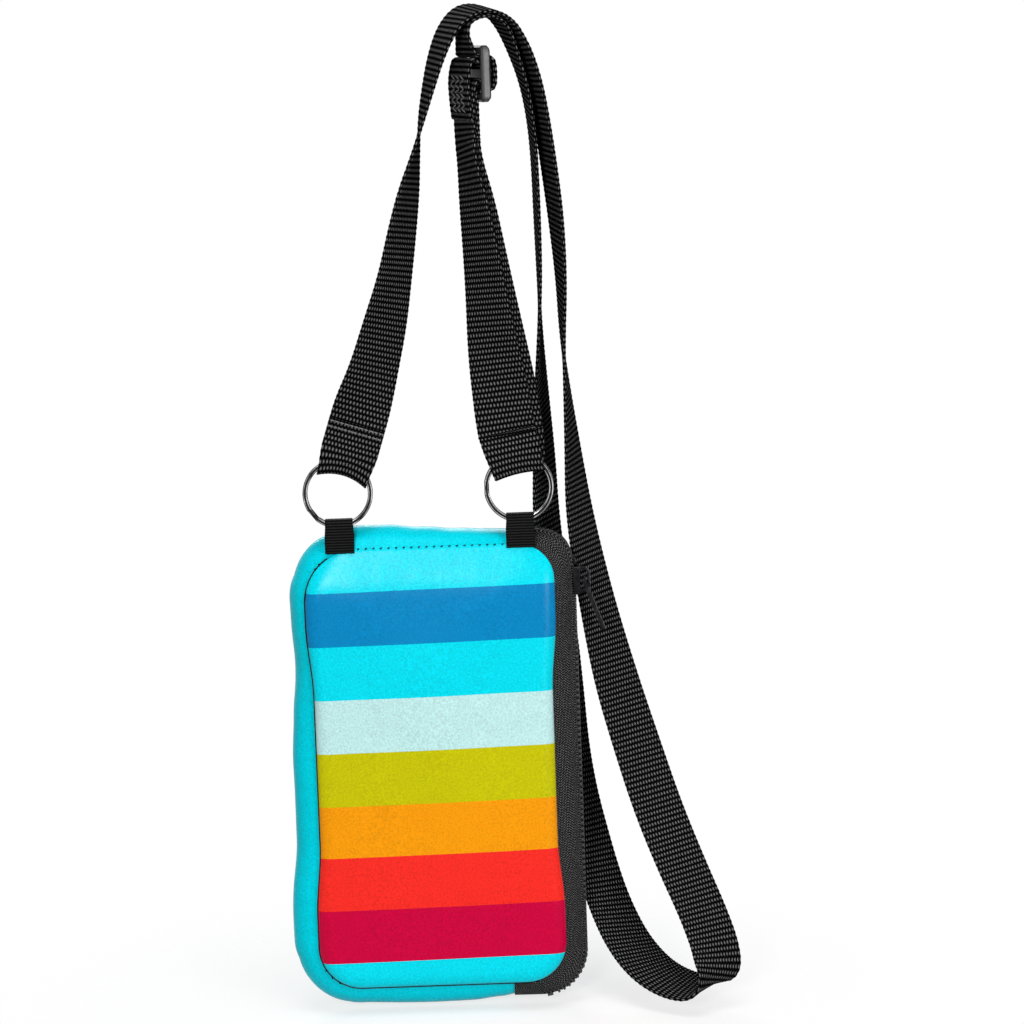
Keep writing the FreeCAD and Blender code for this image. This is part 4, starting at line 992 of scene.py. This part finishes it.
class POUCH_OT_zip_cloth(bpy.types.Operator):
    """Make the zip tapes and the cloth over the zip's lower end."""
    bl_idname = "pouch.zip_cloth"
    bl_label = "Zip cloth"

    def execute(self, context):
        shell, colours = context.scene.pouch_shell, context.scene.pouch_colours
        finish = tape_finish(colours, shell)
        self.add_tapes(shell, finish)
        self.add_cover(shell, finish)
        return {"FINISHED"}

    def add_tapes(self, shell, finish):
        """The two tapes, which leave the panels' outline towards the teeth."""
        _, run = seam_runs(shell)
        edge = shell.tape_gap / 2

        def follow(depth):
            return ease((abs(depth) - shell.tape_hold) / (WALL_HALF - shell.tape_hold))

        for name, front, back, tucks in (
            ("front", -WALL_HALF, -edge, (shell.tuck, 0)), ("back", edge, WALL_HALF, (0, shell.tuck)),
        ):
            flat = wall_section(front, back, WALL_STEPS, 0, shell.tape, tucks)
            section = [(depth, height + self.selvedge(shell, depth)) for depth, height in flat]
            tape = wall_strip(
                f"zip_{name}_tape", shell, run, section, follow, TAPE_WAVE_SHARE, ZIP_FULL_SHARES)
            dress(tape, finish, "pouch", [f"zip_tape_{name}"])

    def add_cover(self, shell, finish):
        """The cloth over the zip's lower end."""
        tucks = (shell.tuck, shell.tuck)
        section = wall_section(-WALL_HALF, WALL_HALF, COVER_STEPS, shell.cover_lift, shell.cover, tucks)
        width = COVER_HIGH.x - COVER_LOW.x
        reaches = [COVER_LOW.x + width * step / COVER_RUN_STEPS for step in range(COVER_RUN_STEPS + 1)]
        run = [(Vector((x, 0, PANEL_LOW.z)), -UP) for x in reaches]
        level = [(0, 0), (1, 0)]
        cover = wall_strip("zip_end_cloth", shell, run, section, lambda depth: 0, COVER_WAVE_SHARE, level)
        dress(cover, finish, "pouch", ["zip_end_cover"])

    def selvedge(self, shell, depth):
        """Extra height of a tape near its woven edge."""
        far = abs(depth) - shell.tape_gap / 2 - shell.selvedge_width
        return shell.selvedge * (1 - ease(far / shell.selvedge))


class POUCH_OT_zip_metal(bpy.types.Operator):
    """Finish the zip's teeth, stops, slider and pull."""
    bl_idname = "pouch.zip_metal"
    bl_label = "Zip teeth and slider"

    def execute(self, context):
        colours = context.scene.pouch_colours
        metal = metal_finish("slider_metal", colours.metal, colours.metal_shade, 0.26, 0.3)
        coil = plastic_finish("coil_nylon", colours.coil, 0.4, 0.3)
        for node in ("zip_slider", "zip_pull", "zip_top_stops"):
            dress_node(node, metal)
        for node in ("zip_coil_front", "zip_coil_back", "zip_bottom_stop"):
            dress_node(node, coil)
        return {"FINISHED"}


class POUCH_OT_tabs(bpy.types.Operator):
    """Make the two ribbon tabs and finish the split rings."""
    bl_idname = "pouch.tabs"
    bl_label = "Tabs and rings"

    def execute(self, context):
        shell, colours = context.scene.pouch_shell, context.scene.pouch_colours
        finish = ribbon_finish(colours, shell)
        axis_height = JOINTS["pouch_swing"]["pos_m"][2]
        section = strip_section(shell.ribbon_width, shell.ribbon, shell.ribbon_edge, TAB_COLUMNS)
        for side, ring in RING_PLACES.items():
            origin = Vector((ring.x, ring.y, axis_height))
            stations = fold_stations(TAB_FOLD, origin, BACK, UP, TAB_STEPS)

            def pinch(row, distance, across, out):
                middle, wide, normal = stations[row]
                rise = ease((middle.z - origin.z + shell.ribbon_width / 2) / (shell.ribbon_width / 2))
                return middle + wide * across * (1 - TAB_NARROWING_SHARE * rise) + normal * out

            tab = lofted(f"{side}_ribbon_tab", stations, section, pinch)
            dress(tab, finish, "pouch", [f"tab_{side}"])
            low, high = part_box(f"ring_{side}")
            half = shell.ring_wire / 2
            metal = ring_finish(f"{side}_ring_gunmetal", colours, ring, (high.x - low.x) / 2 - half, half)
            dress_node(f"ring_{side}", metal)
        return {"FINISHED"}


class POUCH_OT_strap(bpy.types.Operator):
    """Make the stretches of the strap and its folds round the rings."""
    bl_idname = "pouch.strap"
    bl_label = "Strap"

    def execute(self, context):
        strap, colours = context.scene.pouch_strap, context.scene.pouch_colours
        finish = webbing_finish(colours, strap)
        folds = []
        for side, fold, lean, sag, arch, slip in (
            ("left", LEFT_FOLD, strap.left_lean, strap.left_sag, strap.left_arch, 0),
            ("right", RIGHT_FOLD, strap.right_lean, strap.right_sag, strap.right_arch, strap.right_slip),
        ):
            folds.append(self.ring_fold(strap, side, fold, lean, sag, arch, slip))
            dress(folds[-1], finish, "strap", [f"strap_{side}_end"])
        stations = route_stations(LONG_ROUTE)
        strand = webbing_strip(strap, "long_webbing", stations)
        dress(strand, finish, "strap", ["strap_long"])
        upper = webbing_strip(strap, "upper_webbing", route_stations(UPPER_ROUTE, UPPER_STEPS))
        dress(upper, finish, None, ["strap_upper"])
        shift = (strap.gauge + strap.layer_gap) / 2
        main = webbing_strip(strap, "right_webbing", route_stations(MAIN_ROUTE, shift=-shift))
        dress(main, finish, None, ["strap_right"])
        tail = webbing_strip(strap, "tail_webbing", route_stations(TAIL_ROUTE, shift=shift))
        dress(tail, finish, None, ["strap_tail"])
        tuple(UPPER_POINTS[0])
        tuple(UPPER_POINTS[1])
        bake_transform(upper)
        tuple(RIGHT_POINTS[0])
        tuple(RIGHT_POINTS[1])
        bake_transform(main)
        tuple(RIGHT_POINTS[0])
        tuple(RIGHT_POINTS[1])
        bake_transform(tail)
        line = [station[0] for station in stations]
        tuple(line[0])
        return {"FINISHED"}

    def ring_fold(self, strap, side, fold, lean, sag, arch, slip):
        """Webbing folded through a ring, with the fold hanging in an arch under the ring's wire."""
        high = RIGHT * math.sin(lean) + UP * math.cos(lean)
        half = strap.width / 2
        stations = []
        holds = []
        run = fold_stations(fold, RING_PLACES[side], BACK, high)
        for index, (middle, wide, normal) in enumerate(run):
            height = (middle - RING_PLACES[side]).dot(high)
            holds.append(ease((strap.free_height - height) / (strap.free_height - strap.held_height)))
            aside = wide * slip * index / (len(run) - 1)
            stations.append((middle + aside - high * sag * holds[-1], wide, normal))

        def settle(row, across, out):
            middle, wide, normal = stations[row]
            across *= 1 - FOLD_NARROWING_SHARE * holds[row]
            drop = arch * (across / half) ** 2 * holds[row]
            return middle + wide * across + normal * out - high * drop

        return webbing_strip(strap, f"{side}_webbing_end", stations, FOLD_COLUMNS, settle)


class POUCH_OT_adjuster(bpy.types.Operator):
    """Make the webbing on the adjuster and finish its frame."""
    bl_idname = "pouch.adjuster"
    bl_label = "Adjuster"

    def execute(self, context):
        strap, colours = context.scene.pouch_strap, context.scene.pouch_colours
        finish = bpy.data.materials["webbing_weave"]
        origin, deep = adjuster_frame()
        for name, fold, node in (
            ("adjuster_webbing", WRAP_FOLD, "adjuster_wrap"),
            ("tail_end_webbing", TAIL_FOLD, "adjuster_tail_loop"),
        ):
            piece = webbing_strip(strap, name, fold_stations(fold, origin, deep, UP))
            dress(piece, finish, "adjuster", [node])
        across = deep.cross(UP)
        corners = frame["nodes"]["adjuster_frame"].data.vertices
        reach = max((corner.co - origin).dot(across) for corner in corners)
        # Painted sheen on the frame's two side faces
        painted_highlight = (origin, across, reach, colours.painted_side_sheen)
        dress_node("adjuster_frame", plastic_finish("adjuster_grain", colours.plastic, 0.36, 0.2, painted_highlight))
        return {"FINISHED"}


class POUCH_OT_stitches(bpy.types.Operator):
    """Sew the seams and the strap's ends."""
    bl_idname = "pouch.stitches"
    bl_label = "Stitches"

    def execute(self, context):
        scene = context.scene
        shell, strap, colours = scene.pouch_shell, scene.pouch_strap, scene.pouch_colours
        dark = thread_finish("seam_thread", colours.thread)
        pale = thread_finish("strap_thread", colours.pale_thread)
        seam = self.seam_line(shell)
        self.lay_thread_and_shade_cords(shell, seam, dark)
        self.sew_seams(shell, strap, seam, dark)
        self.sew_left_end(strap, pale)
        self.sew_tail(strap, pale)
        return {"FINISHED"}

    def seam_line(self, shell):
        """Line of the panels' seam below the top, as (point, outward)."""
        stand_out = 0.1 * MM
        top_facing = 0.99
        run, _ = seam_runs(shell)
        return [
            (point - normal * (soft_inset(shell, point, normal) - stand_out), normal)
            for point, normal in run if normal.z < top_facing
        ]

    def lay_thread_and_shade_cords(self, shell, seam, thread):
        """Dark cord in the seams of both panels: partly the thread, partly painted shadow of the seam's gap.
        """
        corners = 6
        turns = [2 * math.pi * corner / corners for corner in range(corners)]
        section = [(shell.seam_thread * math.cos(turn), shell.seam_thread * math.sin(turn)) for turn in turns]
        for name, side in (("front", -1), ("back", 1)):
            depth = side * (WALL_HALF + shell.seam_depth)
            # Dark cord along the seam: thread, and painted shadow of the gap
            stations = [(point + BACK * depth, BACK, normal) for point, normal in seam]
            piece = lofted(f"{name}_seam_thread", stations, section)
            piece.data.materials.append(thread)
            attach(piece, "pouch")

    def sew_seams(self, shell, strap, seam, thread):
        """Open stitches along the top front seam, and a few where the side seam shows them."""
        stitch_lift, top_lift, side_lift = 0.2 * MM, 0.15 * MM, 0.3 * MM
        depth = WALL_HALF + shell.seam_depth + stitch_lift
        left = RING_PLACES["left"].x + shell.ribbon_width / 2
        right = RING_PLACES["right"].x - shell.ribbon_width / 2
        count = 20
        tilt = (RIGHT * 0.8 + UP * 0.25).normalized()
        places = []
        for index in range(count):
            x = left + (right - left) * (index + 0.5) / count
            places.append((Vector((x, -depth, PANEL_HIGH.z + top_lift)), tilt, UP))
        shown = seam[6:11:4] + seam[126:140:5]
        for point, normal in shown:
            along = (normal.cross(BACK) + normal * 0.5).normalized()
            places.append((point - BACK * depth + normal * side_lift, along, -BACK))
        piece = stitch_line("top_seam_stitches", strap, places, thread, 0.6)
        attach(piece, "pouch")

    def sew_left_end(self, strap, thread):
        """Two rows of stitches across the strap's left end."""
        high = RIGHT * math.sin(strap.left_lean) + UP * math.cos(strap.left_lean)
        wide = RIGHT * math.cos(strap.left_lean) - UP * math.sin(strap.left_lean)
        row_heights = (24.3 * MM, 22.2 * MM)
        pitch, lift = 1.75 * MM, 1.4 * MM
        count = 11
        places = []
        for height in row_heights:
            for index in range(count):
                along = wide * (index - (count - 1) / 2) * pitch
                places.append((RING_PLACES["left"] + high * height + along - BACK * lift, wide, -BACK))
        piece = stitch_line("strap_end_stitches", strap, places, thread)
        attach(piece, "strap")

    def sew_tail(self, strap, thread):
        """Three zigzag rows of stitches along the sewn end of the tail."""
        origin, deep = adjuster_frame()
        outer_depth = 4.5 * MM
        outer_run = [
            station for station in fold_stations(TAIL_FOLD, origin, deep, UP)
            if (station[0] - origin).dot(deep) < -outer_depth
        ]
        reach, step = 2 * MM, 1.4 * MM
        row_places = (-4.5 * MM, 0, 4.5 * MM)
        count = 9
        places = []
        for across in row_places:
            for index in range(count):
                height = origin.z - step * (index + 1)
                middle, wide, _ = min(outer_run, key=lambda station: abs(station[0].z - height))
                slant = reach if index % 2 else -reach
                spot = middle - deep * (strap.gauge + strap.stitch_width / 2) / 2 + wide * across
                places.append((spot, (UP * step + wide * 2 * slant).normalized(), -deep))
        stretch = math.hypot(step, 2 * reach) / strap.stitch_length
        piece = stitch_line("tail_stitches", strap, places, thread, stretch)
        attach(piece, "adjuster")


class POUCH_OT_stage(bpy.types.Operator):
    """Set up the camera, the floor and the lamps."""
    bl_idname = "pouch.stage"
    bl_label = "Stage"

    def execute(self, context):
        scene, stage = context.scene, context.scene.pouch_stage
        self.add_camera(scene, stage)
        self.add_floor(stage)
        for name, (place, size, power) in LAMPS.items():
            self.add_lamp(name, place, size, power)
        self.add_world(scene, stage)
        scene.view_settings.view_transform = "Standard"
        return {"FINISHED"}

    def add_camera(self, scene, stage):
        """Camera at the photograph's viewing angle."""
        data = bpy.data.cameras.new("camera")
        camera = bpy.data.objects.new("camera", data)
        scene.collection.objects.link(camera)
        data.lens = stage.lens
        look = Vector(stage.target) - Vector(stage.camera)
        camera.location = stage.camera
        camera.rotation_mode = "QUATERNION"
        camera.rotation_quaternion = look.to_track_quat("-Z", "Y") @ Quaternion((0, 0, 1), stage.roll)
        scene.camera = camera

    def add_floor(self, stage):
        """Round pale floor that fades out into the white behind it."""
        bpy.ops.object.select_all(action="DESELECT")
        bpy.ops.mesh.primitive_circle_add(vertices=96, radius=stage.floor_radius, fill_type="NGON")
        floor = bpy.context.object
        floor.name = "floor"
        height = CAD_BOX[0].z - stage.floor_gap
        for point in floor.data.vertices:
            point.co.z = height
        look = Finish("floor_paper", stage.floor, 0.9, Specular_IOR_Level=0.0)
        where = look.node("SeparateXYZ", {0: look.place()})
        flat = look.node("CombineXYZ", {"X": where.outputs["X"], "Y": where.outputs["Y"]}).outputs[0]
        far = look.vector("DISTANCE", flat, (PANEL_MIDDLE.x, 0, 0))
        feeds = {"Value": far, "From Min": stage.fade_start, "From Max": stage.fade_end}
        fade = look.node("MapRange", feeds, interpolation_type="SMOOTHSTEP")
        seen = self.seen_rays(look.tree)
        tint = look.mix(seen, rgba(stage.floor_bounce), rgba(stage.floor))
        look.feed(look.shader.inputs["Base Color"], tint)
        glow = look.times(seen, stage.floor_glow)
        white = look.node("Emission", {"Strength": stage.white_level}).outputs[0]
        lit = look.node("MixShader", {"Fac": glow, 1: look.shader.outputs[0], 2: white}).outputs[0]
        clear = look.node("BsdfTransparent").outputs[0]
        blend = look.node("MixShader", {"Fac": fade.outputs[0], 1: lit, 2: clear})
        output = next(node for node in look.tree.nodes if node.type == "OUTPUT_MATERIAL")
        look.feed(output.inputs["Surface"], blend.outputs[0])
        floor.data.materials.append(look.material)

    def add_lamp(self, name, place, size, power):
        """Square soft lamp aimed at the pouch."""
        data = bpy.data.lights.new(name, "AREA")
        data.size = size
        data.energy = power
        lamp = bpy.data.objects.new(name, data)
        bpy.context.scene.collection.objects.link(lamp)
        lamp.location = place
        lamp.visible_camera = False
        aim = Vector((0, 0, PANEL_MIDDLE.z)) - Vector(place)
        lamp.rotation_mode = "QUATERNION"
        lamp.rotation_quaternion = aim.to_track_quat("-Z", "Y")

    def seen_rays(self, tree):
        """1 for what the camera sees, straight or through a mirror or glass."""
        rays = tree.nodes.new("ShaderNodeLightPath")
        seen = rays.outputs["Is Camera Ray"]
        for extra in ("Is Glossy Ray", "Is Transmission Ray"):
            either = tree.nodes.new("ShaderNodeMath")
            either.operation = "MAXIMUM"
            tree.links.new(seen, either.inputs[0])
            tree.links.new(rays.outputs[extra], either.inputs[1])
            seen = either.outputs[0]
        return seen

    def add_world(self, scene, stage):
        """Even light from all round, and white where the camera or a mirror sees it."""
        world = bpy.data.worlds.new("studio")
        world.use_nodes = True
        scene.world = world
        tree = world.node_tree
        background = next(node for node in tree.nodes if node.type == "BACKGROUND")
        background.inputs["Color"].default_value = (1, 1, 1, 1)
        seen = self.seen_rays(tree)
        level = tree.nodes.new("ShaderNodeMapRange")
        level.inputs["To Min"].default_value = stage.world
        level.inputs["To Max"].default_value = 1.0
        tree.links.new(seen, level.inputs["Value"])
        tree.links.new(level.outputs[0], background.inputs["Strength"])


class POUCH_PT_panel(bpy.types.Panel):
    """Operators and sizes of the pouch."""
    bl_label = "Phone pouch"
    bl_idname = "POUCH_PT_panel"
    bl_space_type = "VIEW_3D"
    bl_region_type = "UI"
    bl_category = "Pouch"

    def draw(self, context):
        for operator in OPERATORS:
            self.layout.operator(operator.bl_idname)
        for group in SETTINGS:
            settings = getattr(context.scene, group)
            box = self.layout.box()
            for name in settings.bl_rna.properties.keys():
                if name not in ("rna_type", "name"):
                    box.prop(settings, name)


SETTINGS = {
    "pouch_shell": ShellSizes,
    "pouch_strap": StrapSizes,
    "pouch_colours": PouchColours,
    "pouch_stage": StageSettings,
}
OPERATORS = [
    POUCH_OT_stage, POUCH_OT_strap, POUCH_OT_adjuster, POUCH_OT_panels, POUCH_OT_gusset, POUCH_OT_zip_cloth,
    POUCH_OT_zip_metal, POUCH_OT_tabs, POUCH_OT_stitches,
]


def register():
    """Register the settings, the operators and the panel."""
    for name, group in SETTINGS.items():
        bpy.utils.register_class(group)
        setattr(bpy.types.Scene, name, PointerProperty(type=group))
    for item in OPERATORS + [POUCH_PT_panel]:
        bpy.utils.register_class(item)


def unregister():
    """Take them off again."""
    for item in [POUCH_PT_panel] + OPERATORS[::-1]:
        bpy.utils.unregister_class(item)
    for name, group in SETTINGS.items():
        delattr(bpy.types.Scene, name)
        bpy.utils.unregister_class(group)


def main():
    """Build the pouch."""
    register()
    for operator in OPERATORS:
        group, name = operator.bl_idname.split(".")
        getattr(getattr(bpy.ops, group), name)()
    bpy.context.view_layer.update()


if __name__ == "__main__":
    main()
